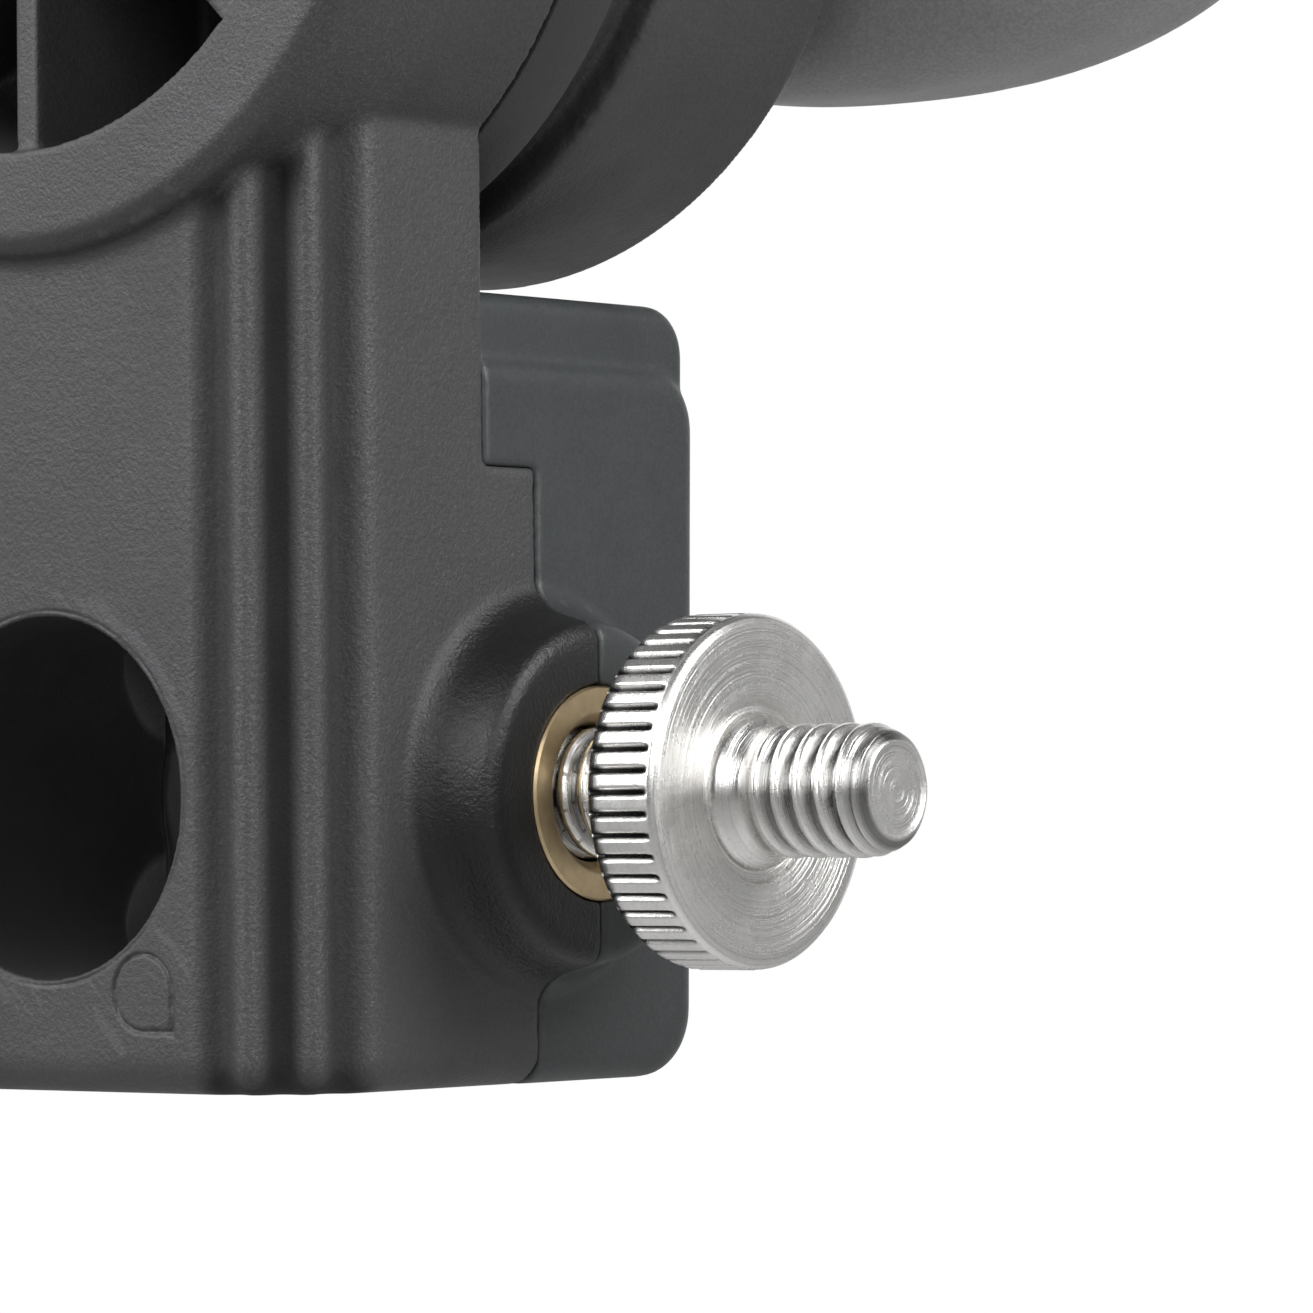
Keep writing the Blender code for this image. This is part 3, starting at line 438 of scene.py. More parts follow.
def block_marks_and_shade(n, base, rub, colour):
    """Coarse peppering on the reeds, painted shade and a duller finish in the valleys between, a polished
    boss darkened with painted shade, and painted shade inside the cross bore.
    """
    def shade(share):
        return tuple(share * c for c in colour)

    x, y, z = n.axes()
    from_lock = n.math("SUBTRACT", z, STAND_LOCK_Z * MM)
    past_side = n.math("ABSOLUTE", x)
    reeds = n.times(n.above(past_side, 9.4, 1.2), n.above(n.flip(y), 11.4, 1.0))
    reeds = n.times(reeds, n.above(n.flip(z), -51.0, 1.0))
    pepper = n.spread(n.noise(6500, 2.0, 0.8), 0.52, 0.66, 0.0, 1.0)
    base = n.mix(n.times(n.times(pepper, reeds), 0.55), base, shade(3.4))
    into_corner = n.math("SUBTRACT", past_side, (HALF_WIDTH - CORNER_R) * MM)
    crest = n.above(n.span(into_corner, n.math("ADD", y, -(FRONT_Y + CORNER_R) * MM)), 5.85, 0.8)
    # painted shade: the valleys between the reeds are darkened, and made rougher
    valley_shade = n.times(reeds, n.math("SUBTRACT", 1.0, crest))
    base = n.mix(n.times(valley_shade, 0.9), base, shade(0.15))
    rub = n.math("ADD", rub, n.times(valley_shade, 0.25))
    # painted shade: the side boss is darkened to stand in for the shadow of the knob and the block's corner;
    # its lower roughness is polish
    boss = n.times(n.above(x, HALF_WIDTH + 0.15, 0.35), n.above(n.flip(n.span(y, from_lock)), -10.4, 0.5))
    # painted shade: the wall of the cross bore is darkened, and made rougher
    bore = n.above(n.flip(n.span(x, from_lock)), -CROSS_R - 0.15, 0.2)
    bore = n.times(bore, n.above(y, FRONT_Y + 0.15, 0.3))
    base = n.mix(boss, base, shade(0.25))
    base = n.mix(bore, base, shade(0.2))
    rub = n.math("SUBTRACT", rub, n.times(boss, 0.12))
    return base, n.math("ADD", rub, n.times(bore, 0.3))


def nickel(name, axis, centre, knurl_r, knurl_span):
    """Bright nickel over turned brass: lathe rings round the axis, painted shade in the knurl's grooves and
    at the threads' roots.
    """
    n = Nodes(name)
    x, y, z = n.axes()
    across, along = (y, x) if axis == "X" else (x, n.flip(y))
    reach = n.span(across, n.math("SUBTRACT", z, centre * MM))
    wobble = n.times(n.noise(900, 2.0, 0.5), 0.00010)
    rings = n.add("ShaderNodeTexNoise", noise_dimensions="1D", Scale=6500.0, Detail=3.0, Roughness=0.75)
    n.link(n.math("ADD", reach, wobble), rings.inputs["W"])
    rings = rings.outputs["Fac"]
    rough = n.spread(n.noise(700, 4.0, 0.6), 0.3, 0.75, 0.24, 0.31)
    worn = n.spread(n.noise(5200, 3.0, 0.6), 0.50, 0.78, 0.0, 1.0)
    base = n.mix(n.times(worn, 0.45), (0.86, 0.85, 0.83), (0.62, 0.61, 0.60))
    scratch = n.spread(rings, 0.50, 0.70, 0.0, 1.0)
    base = n.mix(n.times(scratch, 0.40), base, (0.45, 0.44, 0.43))
    low, high = knurl_span
    # painted shade: the knurl's grooves are darkened nearly to black
    outside = n.above(reach, 0.857 * knurl_r, 0.2)
    groove = n.times(outside, n.math("SUBTRACT", 1.0, n.above(reach, knurl_r - 0.16, 0.16)))
    rim = n.times(n.above(along, low, 0.1), n.above(n.flip(along), -high, 0.1))
    base = n.mix(n.times(n.times(groove, rim), 0.92), base, (0.03, 0.03, 0.03))
    # painted shade: the roots of the threads, away from the disc, are darkened
    core = n.math("SUBTRACT", 1.0, n.above(reach, THREAD_R - 0.34, 0.34))
    beyond = n.above(n.math("ABSOLUTE", n.math("SUBTRACT", along, KNOB_MIDDLE * MM)), 3.6, 0.4)
    root = n.times(n.times(core, beyond), n.above(reach, 2.35, 0.1))
    base = n.mix(n.times(root, 0.75), base, (0.06, 0.06, 0.06))
    height = n.bump(n.noise(6500, 3.0, 0.6), 0.000008, 0.8, n.bump(rings, 0.00003, 1.0))
    tangent = n.add("ShaderNodeTangent", direction_type="RADIAL", axis=axis)
    n.link(tangent.outputs[0], n.shader.inputs["Tangent"])
    return n.set(Base_Color=base, Roughness=rough, Metallic=1.0, Normal=height, Anisotropic=0.55)


def metal(name, colour, dark, rough):
    """Plain metal, a little patchy, with its edges rubbed bright."""
    scale = 1500
    n = Nodes(name)
    patch = n.spread(n.noise(scale, 4.0, 0.6), 0.3, 0.72, 0.0, 1.0)
    base = n.mix(n.times(patch, 0.6), colour, dark)
    base = n.mix(n.times(n.edge(), 0.4), base, tuple(min(1.0, 1.25 * c) for c in colour))
    roughness = n.spread(n.noise(scale * 0.4, 3.0, 0.5), 0.3, 0.7, rough - 0.07, rough + 0.1)
    height = n.bump(n.noise(scale * 4, 3.0, 0.6), 0.00001, 0.8)
    return n.set(Base_Color=base, Roughness=roughness, Metallic=1.0, Normal=height)


def black_oxide():
    """Blackened steel with its edges worn to grey."""
    n = Nodes("black_oxide")
    patch = n.spread(n.noise(1100, 4.0, 0.6), 0.3, 0.72, 0.0, 1.0)
    base = n.mix(patch, (0.030, 0.030, 0.032), (0.060, 0.060, 0.063))
    base = n.mix(n.times(n.edge(), 0.6), base, (0.30, 0.30, 0.31))
    roughness = n.spread(n.noise(700, 3.0, 0.5), 0.3, 0.7, 0.32, 0.48)
    return n.set(Base_Color=base, Roughness=roughness, Metallic=0.85, Normal=n.bump(patch, 0.000015, 0.6))


# the grained plastic carries painted shade in the reed valleys, on the side boss and in the cross bore
GRAINED = plastic(
    "grained_plastic", (0.033, 0.033, 0.035), (0.043, 0.043, 0.045), 0.50, 0.000055, block_marks_and_shade
)
SMOOTH = plastic("smooth_plastic", (0.029, 0.032, 0.033), (0.035, 0.039, 0.040), 0.44, 0.000016)
TOOTH = plastic("tooth_plastic", (0.022, 0.022, 0.023), (0.028, 0.028, 0.029), 0.50, 0.00003)
LEVER = plastic("lever_plastic", (0.225, 0.225, 0.228), (0.26, 0.26, 0.263), 0.50, 0.00003, worn=0.0)
# the nickel coats carry painted shade in the knurl's grooves and at the threads' roots
STAND_NICKEL = nickel("stand_nickel", "X", STAND_LOCK_Z, KNOB_R, KNOB_SPAN)
STUD_NICKEL = nickel("stud_nickel", "X", HEAD_TOP - STUD_LOCK_Z, KNOB_R, KNOB_SPAN)
THUMB_NICKEL = nickel("thumb_nickel", "Y", HEAD_TOP - UMBRELLA_Z, THUMB_R, THUMB_SPAN)
BRASS = metal("brass", (0.66, 0.52, 0.32), (0.40, 0.31, 0.19), 0.38)
SPIGOT = metal("spigot_brass", (0.74, 0.60, 0.36), (0.60, 0.47, 0.27), 0.30)
STEEL = metal("steel", (0.56, 0.56, 0.57), (0.42, 0.42, 0.43), 0.34)
SPRING = metal("spring_steel", (0.50, 0.50, 0.52), (0.34, 0.34, 0.36), 0.30)
OXIDE = black_oxide()


# ------------------------------------------------------------------ block and head shapes

def reed_radius(angle):
    """Radius of the reeded corner at an angle in degrees from straight ahead."""
    radius = CORNER_R
    for centre, depth in FLUTES:
        offset = abs(angle - centre)
        if offset < FLUTE_PITCH / 2:
            radius -= depth * (0.5 + 0.5 * math.cos(2 * math.pi * offset / FLUTE_PITCH))
    return radius


def block_plan(inset, back):
    """Outline of the block seen from above, from its rear edges round the reeded front."""
    shrink = (CORNER_R - inset) / CORNER_R
    right = [(HALF_WIDTH - inset, back)]
    steps = 90
    for i in range(steps + 1):
        angle = 90 * (1 - i / steps)
        reach = reed_radius(angle) * shrink
        x = HALF_WIDTH - CORNER_R + reach * math.sin(math.radians(angle))
        y = FRONT_Y + CORNER_R - reach * math.cos(math.radians(angle))
        right.append((x, y))
    return right + [(-x, y) for x, y in reversed(right)]


def reeded_block(top, back):
    """The block's front from its rounded bottom edge up to a level."""
    rings = []
    for i in range(9):
        angle = math.radians(90 * i / 8)
        inset = BOTTOM_FILLET * (1 - math.sin(angle))
        z = BOTTOM_FILLET * (1 - math.cos(angle))
        rings.append([(x, y, z) for x, y in block_plan(inset, back)])
    rings.append([(x, y, top) for x, y in block_plan(0.0, back)])
    return loft(rings)


def arc(centre, radius, start, end, steps):
    points = []
    for i in range(steps + 1):
        angle = math.radians(start + (end - start) * i / steps)
        points.append((centre[0] + radius * math.cos(angle), centre[1] + radius * math.sin(angle)))
    return points


def tier(half_width, rear, bottom, top, rounding, side_round):
    """Rounded rear tier; its back leans outward a little towards the top, for the mould's draft."""
    front = -9.0
    ends = []
    for i in range(7):
        angle = math.radians(90 * i / 6)
        inset = side_round * (1 - math.cos(angle))
        ends.append((half_width - side_round * (1 - math.sin(angle)), inset))
    rings = []
    for x, inset in [(-x, inset) for x, inset in reversed(ends)] + ends:
        reach = rounding - inset
        profile = [(front, bottom + inset)]
        profile += arc((rear - rounding, bottom + rounding), reach, -90, 0, 10)
        profile += arc((rear - rounding, top - rounding), reach, 0, 90, 10)
        profile.append((front, top - inset))
        leans = [DRAFT * (z / LOWER_TOP - 0.55) if y > 0 else 0.0 for y, z in profile]
        rings.append([(x, y + lean, z) for (y, z), lean in zip(profile, leans)])
    return loft(rings)


def side_boss(lock_z):
    """Boss of a lock screw on the side face, with a wide root fillet."""
    profile = [
        (0.0, 13.0), (10.6, 13.0), (10.6, 15.75), (10.0, 15.92), (9.45, 16.25), (9.05, 16.7), (8.75, 17.3),
        (8.55, 18.0), (8.35, 18.8), (8.15, 19.4), (7.75, 19.7), (7.3, BOSS_END), (0.0, BOSS_END),
    ]
    return turned(profile, "X", (0.0, lock_z), 128)


def seam_side(offset, sign):
    """The half space behind (1) or in front (-1) of the stepped seam, pushed back by an offset."""
    far = 60.0
    step = STEP_Z - sign * offset
    low, plate = sign * offset, PLATE_BACK_Y + sign * offset
    outline = [
        (low, -far), (sign * far, -far), (sign * far, 3 * far), (plate, 3 * far), (plate, step), (low, step),
    ]
    return prism(outline, "X", -far, far)


def lock_bores(lock_z, depth):
    """The upright socket and the lock screw's bore from the side into it."""
    socket = turned(
        [(0.0, -2.0), (SOCKET_R, -2.0), (SOCKET_R, depth - 0.6), (SOCKET_R - 0.6, depth), (0.0, depth)],
        "Z", (0.0, 0.0), 128,
    )
    return socket, cylinder("X", (0.0, lock_z), 5.18, 4.0, BOSS_END + 2)


def holes(heights, radius, low, high):
    return [cylinder("Y", (x, z), radius, low, high, 32) for x in (-SCREW_X, SCREW_X) for z in heights]


def seam_wear(obj, amount, seed):
    """Uneven parting line: the edge along the seam wanders a little and shows small nicks."""
    co = coords(obj)
    near = (np.abs(co[:, 1]) < 0.5) & (co[:, 2] < STEP_Z + 0.5)
    near |= (np.abs(co[:, 1] - PLATE_BACK_Y) < 0.5) & (co[:, 2] > STEP_Z)
    near &= np.abs(co[:, 0]) > HALF_WIDTH - 1.4
    index = np.nonzero(near)[0]
    if len(index):
        drift = wander(co[index], 0.55, seed) * 0.6 + wander(co[index], 1.8, seed + 1) * 0.6
        nick = np.clip(wander(co[index], 0.9, seed + 2) - 0.38, 0, 1) * 2.2
        co[index, 1] += amount * (np.abs(drift) + nick)
        put(obj, co)
    return obj


def root_line(body, radius, inner, outer):
    """Points along the line where the block's front meets a hub or disc of this radius."""
    co = coords(body)
    reach = np.hypot(co[:, 0], co[:, 2] - HUB_Z)
    return co, (reach > radius - inner) & (reach < radius + outer) & (co[:, 2] < HUB_Z - 12)


def front_body():
    """Block front and tilt hub: a ring with ribs round a core that holds the bolt's hexagon head."""
    body = reeded_block(HUB_Z - 3.0, 3.0)
    hub = [(0.0, 0.5), (HUB_R, 0.5), (HUB_R, RING_Y + 0.8), (RING_OUTER, RING_Y), (0.0, RING_Y)]
    union(body, turned(hub, "Y", HUB), side_boss(STAND_LOCK_Z))
    cut(body, seam_side(-SEAM, 1))
    cavity = [
        (RING_INNER, RING_Y - 2), (RING_INNER - 0.15, CAVITY_Y - 0.8), (RING_INNER - 0.9, CAVITY_Y),
        (CORE_R + 0.7, CAVITY_Y), (CORE_R, CAVITY_Y - 0.7), (CORE_R, RIB_Y), (0.0, RIB_Y), (0.0, RING_Y - 2),
    ]
    cut(body, turned(cavity, "Y", HUB))
    cut(body, cylinder("Y", HUB, BOLT_BORE, RING_Y - 3, 5.0, 64))
    for i in range(RIB_COUNT):
        rib = box((-RIB_WIDE / 2, RIB_Y, CORE_R - 0.8), (RIB_WIDE / 2, CAVITY_Y + 0.8, RING_INNER + 0.8))
        turn = Matrix.Rotation(2 * math.pi * i / RIB_COUNT, 4, "Y")
        rib.data.transform(Matrix.Translation((0, 0, HUB_Z)) @ turn)
        union(body, rib)
    cut(body, prism(hexagon(HEX_WIDE + 0.7), "Y", RING_Y - 3, -12.1))
    cut(body, *lock_bores(STAND_LOCK_Z, SOCKET_DEPTH), cross_bore())
    cut(body, *holes(STAND_SCREWS, 1.6, -10.0, 3.0))
    soften(body)
    co, line = root_line(body, HUB_R, 0.4, 0.9)
    line &= (co[:, 1] < -11.8) & ((np.abs(co[:, 0]) > 8.5) | (co[:, 1] < FRONT_Y + 1.2))
    relax(body, 8, line.astype(float))
    seam_wear(body, -0.14, 3)
    mould_marks(body)
    return body


def mould_marks(body):
    """The D-shaped ejector mark and the scored lip of the cross bore."""
    mark_x, mark_z, mark_r = 6.2, 4.8, 1.83

    def inside(p):
        if p.y > FRONT_Y + 0.6 or p.z > 60:
            return False
        bore = math.hypot(p.x, p.z - STAND_LOCK_Z)
        return math.hypot(p.x - mark_x, p.z - mark_z) < 3.0 or CROSS_R - 0.3 < bore < CROSS_R + 1.0

    refine(body, inside)
    refine(body, inside)
    co = coords(body)
    face = co[:, 1] < FRONT_Y + 0.35
    u, v = co[:, 0] - mark_x, co[:, 2] - mark_z
    reach = np.hypot(u, v)
    corner = (u > 0) & (v < 0)
    reach = np.where(corner, np.maximum(np.abs(u), np.abs(v)), reach)
    width = 0.10 + 0.05 * np.clip((u - v) / 2.6, 0, 1)
    groove = np.exp(-(((reach - mark_r) / width) ** 2))
    index = np.nonzero(face & (groove > 0.01))[0]
    ragged = 0.75 + 0.5 * wander(co[index], 1.6, 5)
    co[index, 1] += 0.20 * groove[index] * ragged
    bore = np.hypot(co[:, 0], co[:, 2] - STAND_LOCK_Z)
    lip = np.exp(-(((bore - CROSS_R - 0.32) / 0.09) ** 2))
    index = np.nonzero(face & (lip > 0.01) & (co[:, 2] < 30))[0]
    ragged = np.clip(0.55 + 0.9 * wander(co[index], 0.45, 8), 0, 1.3)
    co[index, 1] += 0.11 * lip[index] * ragged
    put(body, co)


def cross_bore():
    return cylinder("Y", (0.0, STAND_LOCK_Z), CROSS_R, FRONT_Y - 3, REAR_Y + 3, 128)


def umbrella_bore():
    return cylinder("X", (0.0, UMBRELLA_Z), UMBRELLA_R, -30, 30)


def screw_holes(heights):
    """Through holes with counterbores for the heads, in a rear shell."""
    return holes(heights, 1.6, -3.0, REAR_Y + 3) + holes(heights, 2.9, REAR_Y - 3.2, REAR_Y + 3)


def rear_shell(lock_z):
    """Two rounded tiers with half of the lock boss, behind the stepped seam."""
    body = tier(HALF_WIDTH, REAR_Y, 0.0, LOWER_TOP, 3.3, 1.4)
    upper = tier(HALF_WIDTH - TIER_INSET, REAR_Y - TIER_INSET, LOWER_TOP - 5, UPPER_TOP, 2.5, 0.9)
    union(body, upper, side_boss(lock_z))
    return cut(body, seam_side(SEAM, -1))


def rear_body():
    body = rear_shell(STAND_LOCK_Z)
    cut(body, *lock_bores(STAND_LOCK_Z, SOCKET_DEPTH), cross_bore(), *screw_holes(STAND_SCREWS))
    return seam_wear(soften(body), 0.10, 4)


HEAD_TURN = Matrix.Translation((0, 0, HEAD_TOP)) @ Matrix.Rotation(math.pi, 4, "X")


def arm_body():
    """The block's front again, upside down: disc, neck and the reeded half of the head."""
    body = union(reeded_block(HUB_Z - 3.0, 3.0), side_boss(STUD_LOCK_Z))
    cut(body, box((-30, FRONT_Y - 5, UPPER_TOP), (30, -16.2, HUB_Z + 5)))
    cut(body, seam_side(-SEAM, 1))
    shoulder = -DISC_FRONT - LEDGE_DEEP
    disc = [
        (0.0, -DISC_FRONT), (LEDGE_R, -DISC_FRONT), (LEDGE_R, shoulder), (DISC_R, shoulder),
        (DISC_R, -DISC_BACK), (0.0, -DISC_BACK),
    ]
    union(body, turned(rounded(disc, 0.4), "Y", HUB))
    cut(body, cylinder("Y", HUB, 19.3, -DISC_FRONT - 2.1, 5.0, ROUND))
    cut(body, cylinder("Y", HUB, 8.0, -DISC_FRONT - 4.7, 5.0), cylinder("Y", HUB, BOLT_BORE, -22, 5))
    cut(body, *lock_bores(STUD_LOCK_Z, HEAD_SOCKET_DEPTH), umbrella_bore())
    cut(body, *holes(HEAD_SCREWS, 1.6, -10.0, 3.0))
    soften(body)
    co, line = root_line(body, DISC_R, 0.5, 1.3)
    relax(body, 14, (line & (np.abs(co[:, 0]) > 8.5)).astype(float))
    seam_wear(body, -0.12, 11)
    body.data.transform(HEAD_TURN)
    return body


def arm_cap():
    """Smooth half of the head, with the boss of the umbrella's thumb screw."""
    body = rear_shell(STUD_LOCK_Z)
    boss = [
        (0.0, 8.0), (7.6, 8.0), (7.4, 13.4), (6.7, 13.8), (6.3, 14.5), (6.0, 15.9), (5.5, 16.4), (0.0, 16.4),
    ]
    centre = (0.0, UMBRELLA_Z)
    union(body, turned(boss, "Y", centre, 128))
    cut(body, *lock_bores(STUD_LOCK_Z, HEAD_SOCKET_DEPTH), umbrella_bore())
    cut(body, cylinder("Y", centre, 4.24, 8.8, 25.0), cylinder("Y", centre, 3.2, 2.0, 12.0))
    cut(body, *screw_holes(HEAD_SCREWS))
    seam_wear(soften(body), 0.10, 12)
    body.data.transform(HEAD_TURN)
    return body


# ------------------------------------------------------------------ hardware

def cross_screw(x, z):
    """Pan-head screw with a cross recess, seated in its counterbore."""
    head = REAR_Y - 2.9
    crown = [(2.6, 0.0), (2.6, 0.7), (2.35, 1.2), (1.8, 1.6), (1.0, 1.8), (0.0, 1.8)]
    crown = [(radius, head + rise) for radius, rise in crown]
    shank = [(0.0, head - 18.0), (0.7, head - 18.0), (1.4, head - 16.5), (1.4, head)]
    screw = turned(shank + crown, "Y", (x, z), 48)
    for w, d in ((1.35, 0.30), (0.30, 1.35)):
        cut(screw, box((x - w, head + 0.6, z - d), (x + w, head + 3, z + d)))
    return screw


def thread_shape(phase):
    """Depth share of a thread at a phase from 0 to 1: rounded crest, rounded root."""
    return 0.5 - 0.5 * math.tanh(2.4 * math.cos(2 * math.pi * phase)) / math.tanh(2.4)


def threaded(profile, spans, axis, centre, count, pitch=THREAD_PITCH, depth=0.62, more=None):
    """Turned solid with helical threads over the given spans of its axis, with their ends run out."""
    rows = []
    for (r0, s0), (r1, s1) in zip(profile, profile[1:]):
        steps, length = 1, abs(s1 - s0)
        if length > 0.3 and any(a - 0.01 <= min(s0, s1) and max(s0, s1) <= b + 0.01 for a, b in spans):
            steps = max(1, math.ceil(length / (pitch / 11)))
        for i in range(steps):
            rows.append((r0 + (r1 - r0) * i / steps, s0 + (s1 - s0) * i / steps))
    rows.append(profile[-1])

    def radius_at(radius, along, angle):
        for a, b in spans:
            if a <= along <= b:
                fade = min(1.0, (along - a) / (0.7 * pitch), (b - along) / (0.5 * pitch))
                phase = along / pitch - angle / (2 * math.pi)
                radius -= depth * max(fade, 0.0) * thread_shape(phase % 1.0)
        return more(radius, along, angle) if more else radius

    return turned(rows, axis, centre, count, radius_at)


def knurl(radius, along, angle, low, high, depth=0.34):
    """Straight knurl: wide flat lands and narrow grooves that stop short of the disc's faces."""
    phase = (KNURLS * angle / (2 * math.pi)) % 1.0
    off = abs(phase - 0.5) / 0.22
    if off >= 1 or along < low or along > high:
        return radius
    fade = min(1.0, (along - low) / 0.25, (high - along) / 0.18)
    return radius - depth * max(fade, 0.0) * (0.5 + 0.5 * math.cos(math.pi * off)) ** 0.7


def double_screw(lock_z):
    """Knurled disc between the clamp thread and the quarter-inch stud, in one turned piece."""
    r, rim = THREAD_R, KNOB_R
    clamp_end = [(0.0, 10.8), (r - 0.6, 10.8), (r, 11.4), (r, 18.2), (r, 24.2)]
    neck = [(r - 0.35, 24.6), (r - 0.35, 25.1)]
    disc = [
        (3.6, 25.2), (7.5, 25.2), (8.0, 25.35), (rim - 0.08, 25.75), (rim, 26.0), (rim, 26.3), (rim, 28.6),
        (rim, 28.85), (rim - 0.04, 29.0), (rim - 0.04, 29.12), (8.18, 29.34), (7.95, 29.44), (7.7, 29.47),
        (6.9, 29.40), (5.6, 29.33), (4.55, 29.31),
    ]
    root = [
        (4.35, 29.28), (4.22, 29.02), (3.95, 28.98), (3.75, 29.06), (3.62, 29.5), (3.30, 29.75), (3.02, 30.1),
        (2.92, 30.5), (2.95, 30.8),
    ]
    tip = [
        (r, 31.05), (r, 35.75), (r - 0.03, 36.1), (r - 0.28, 36.35), (2.72, 36.5), (2.86, 36.72),
        (2.72, 36.98), (2.42, 37.16), (2.32, 37.28), (2.2, 37.3), (2.08, 37.22), (1.98, 37.2), (1.7, 37.2),
        (0.0, 37.2),
    ]

    def more(radius, along, angle):
        return knurl(radius, along, angle, 25.5, 28.95) if radius > 7.6 else radius

    spans = [(18.0, 24.6), (30.95, 36.15)]
    count = KNURLS * 12
    return threaded(clamp_end + neck + disc + root + tip, spans, "X", (0.0, lock_z), count, more=more)


def brass_insert(lock_z):
    """Bush pressed into the boss, its rim just proud."""
    r, bore, rim = 5.15, 3.3, 19.86
    profile = [(bore, 13.4), (r, 13.4), (r, 19.72), (r - 0.1, rim), (3.95, rim), (3.8, 19.8), (bore, 19.1)]
    return turned(profile, "X", (0.0, lock_z), 96)


def clamp_pad(lock_z):
    """Loose disc that the lock screw presses onto the spigot."""
    profile = [(0.0, 8.9), (3.9, 8.9), (4.35, 9.05), (4.6, 9.4), (4.6, 10.3), (4.45, 10.5), (0.0, 10.5)]
    return turned(profile, "X", (0.0, lock_z), 96)


def flip(profile):
    return [(r, -s) for r, s in profile]


def thumb_screw():
    """Tall knurled knob with a dished end, for the umbrella's shaft."""
    rim = THUMB_R
    shank = [(0.0, 7.0), (2.3, 7.0), (2.9, 7.6), (2.9, 13.0), (2.9, 18.3), (2.6, 18.7)]
    knob = [
        (4.5, 18.8), (4.8, 19.0), (4.8, 20.2), (4.9, 20.4), (6.5, 20.4), (rim - 0.2, 20.6), (rim, 20.9),
        (rim, 21.2), (rim, 27.0), (rim, 27.3), (rim - 0.15, 27.6),
    ]
    end = [(6.6, 27.9), (6.2, 28.0), (5.2, 27.9), (5.0, 27.6), (4.6, 27.6), (4.4, 27.75), (0.0, 27.8)]

    def more(radius, along, angle):
        return knurl(radius, -along, angle, 20.7, 27.45, 0.4) if radius > 6.9 else radius

    centre = (0.0, HEAD_TOP - UMBRELLA_Z)
    count = KNURLS * 10
    return threaded(flip(shank + knob + end), [(-18.6, -12.0)], "Y", centre, count, 1.0, 0.5, more)


def spigot():
    """Brass spigot with a waist for its lock screw and a quarter-inch tip."""
    low, high = HEAD_TOP - STUD_LOCK_Z - 5.5, HEAD_TOP - STUD_LOCK_Z + 5.5
    r, waist, top, end = SPIGOT_R, SPIGOT_R - 1.4, SPIGOT_TOP, TIP_TOP
    profile = [(0.0, 106.4), (r - 1.0, 106.4), (r, 107.4), (r, low), (waist, low + 1.4), (waist, high - 1.4)]
    profile += [(r, high), (r, HEAD_TOP - 0.6), (r, top - 1.1), (r - 1.1, top), (3.6, top)]
    tip = [
        (2.95, top + 0.15), (2.85, top + 0.6), (THREAD_R, top + 1.0), (THREAD_R, end - 0.95),
        (2.4, end - 0.15), (2.2, end), (0.0, end),
    ]
    outline = rounded(profile, 0.25, 3) + tip
    return threaded(outline, [(top + 0.8, end - 0.55)], "Z", (0.0, 0.0), 192)


def toothed_ring(outer, flat, face, direction, phase, soft, rim=0.0):
    """Plate with radial teeth on one face, inside a rim that may stand up; its outer edge is eased."""
    bore = 8.0
    count = TEETH * 16
    low, high = 0.15, 1.4

    def level(i):
        wave = (TEETH * i / count + 0.5 * phase) % 1.0
        rise = abs(2 * wave - 1)
        rise = 0.06 + 0.88 * (0.5 - 0.5 * math.cos(math.pi * (0.5 + (rise - 0.5) * 0.94)))
        return face + direction * (low + (high - low) * rise)

    def ring(radius, along):
        points = []
        for i in range(count):
            angle = 2 * math.pi * i / count
            y = level(i) if along is None else along
            points.append((radius * math.cos(angle), y, HUB_Z + radius * math.sin(angle)))
        return points

    e = soft * direction
    lip = face + rim * direction
    profile = [
        (bore, flat), (outer - soft, flat), (outer - soft * 0.3, flat + e * 0.3), (outer, flat + e),
        (outer, lip - e), (outer - soft * 0.3, lip - e * 0.3), (outer - soft, lip), (19.5, lip),
        (19.2, face), (18.7, face), (18.5, None), (10.0, None), (9.9, face), (bore, face),
    ]
    return loft([ring(radius, along) for radius, along in profile], closed=True)


def coil(radius, wire, start, end, turns):
    """Open coil spring about the hub's axis."""
    samples = 44 * turns
    rings = []
    for i in range(samples + 1):
        share = i / samples
        angle = 2 * math.pi * turns * share
        out = Vector((math.cos(angle), 0, math.sin(angle)))
        centre = out * radius + Vector((0, start + wire + (end - start - 2 * wire) * share, HUB_Z))
        ring = []
        for k in range(14):
            spin = 2 * math.pi * k / 14
            ring.append(tuple(centre + out * wire * math.cos(spin) + Vector((0, wire * math.sin(spin), 0))))
        rings.append(ring)
    return loft(rings)


def tilt_bolt():
    """Bolt with a domed hexagon head in the hub's core and its thread in the lever's insert."""
    front, r = -17.4, BOLT_R
    head = prism(hexagon(HEX_WIDE), "Y", front, -12.4)
    crown = [(0.0, front), (5.9, front), (7.6, front + 0.9), (7.6, -12.2), (0.0, -12.2)]
    combine(head, [turned(crown, "Y", HUB, 96)], "INTERSECT")
    shank = [(0.0, -14.0), (r, -14.0), (r, 17.5), (r, 23.8), (3.2, 24.6), (0.0, 24.6)]
    return union(head, threaded(shank, [(17.4, 24.5)], "Y", HUB, 96, BOLT_PITCH, 0.6))


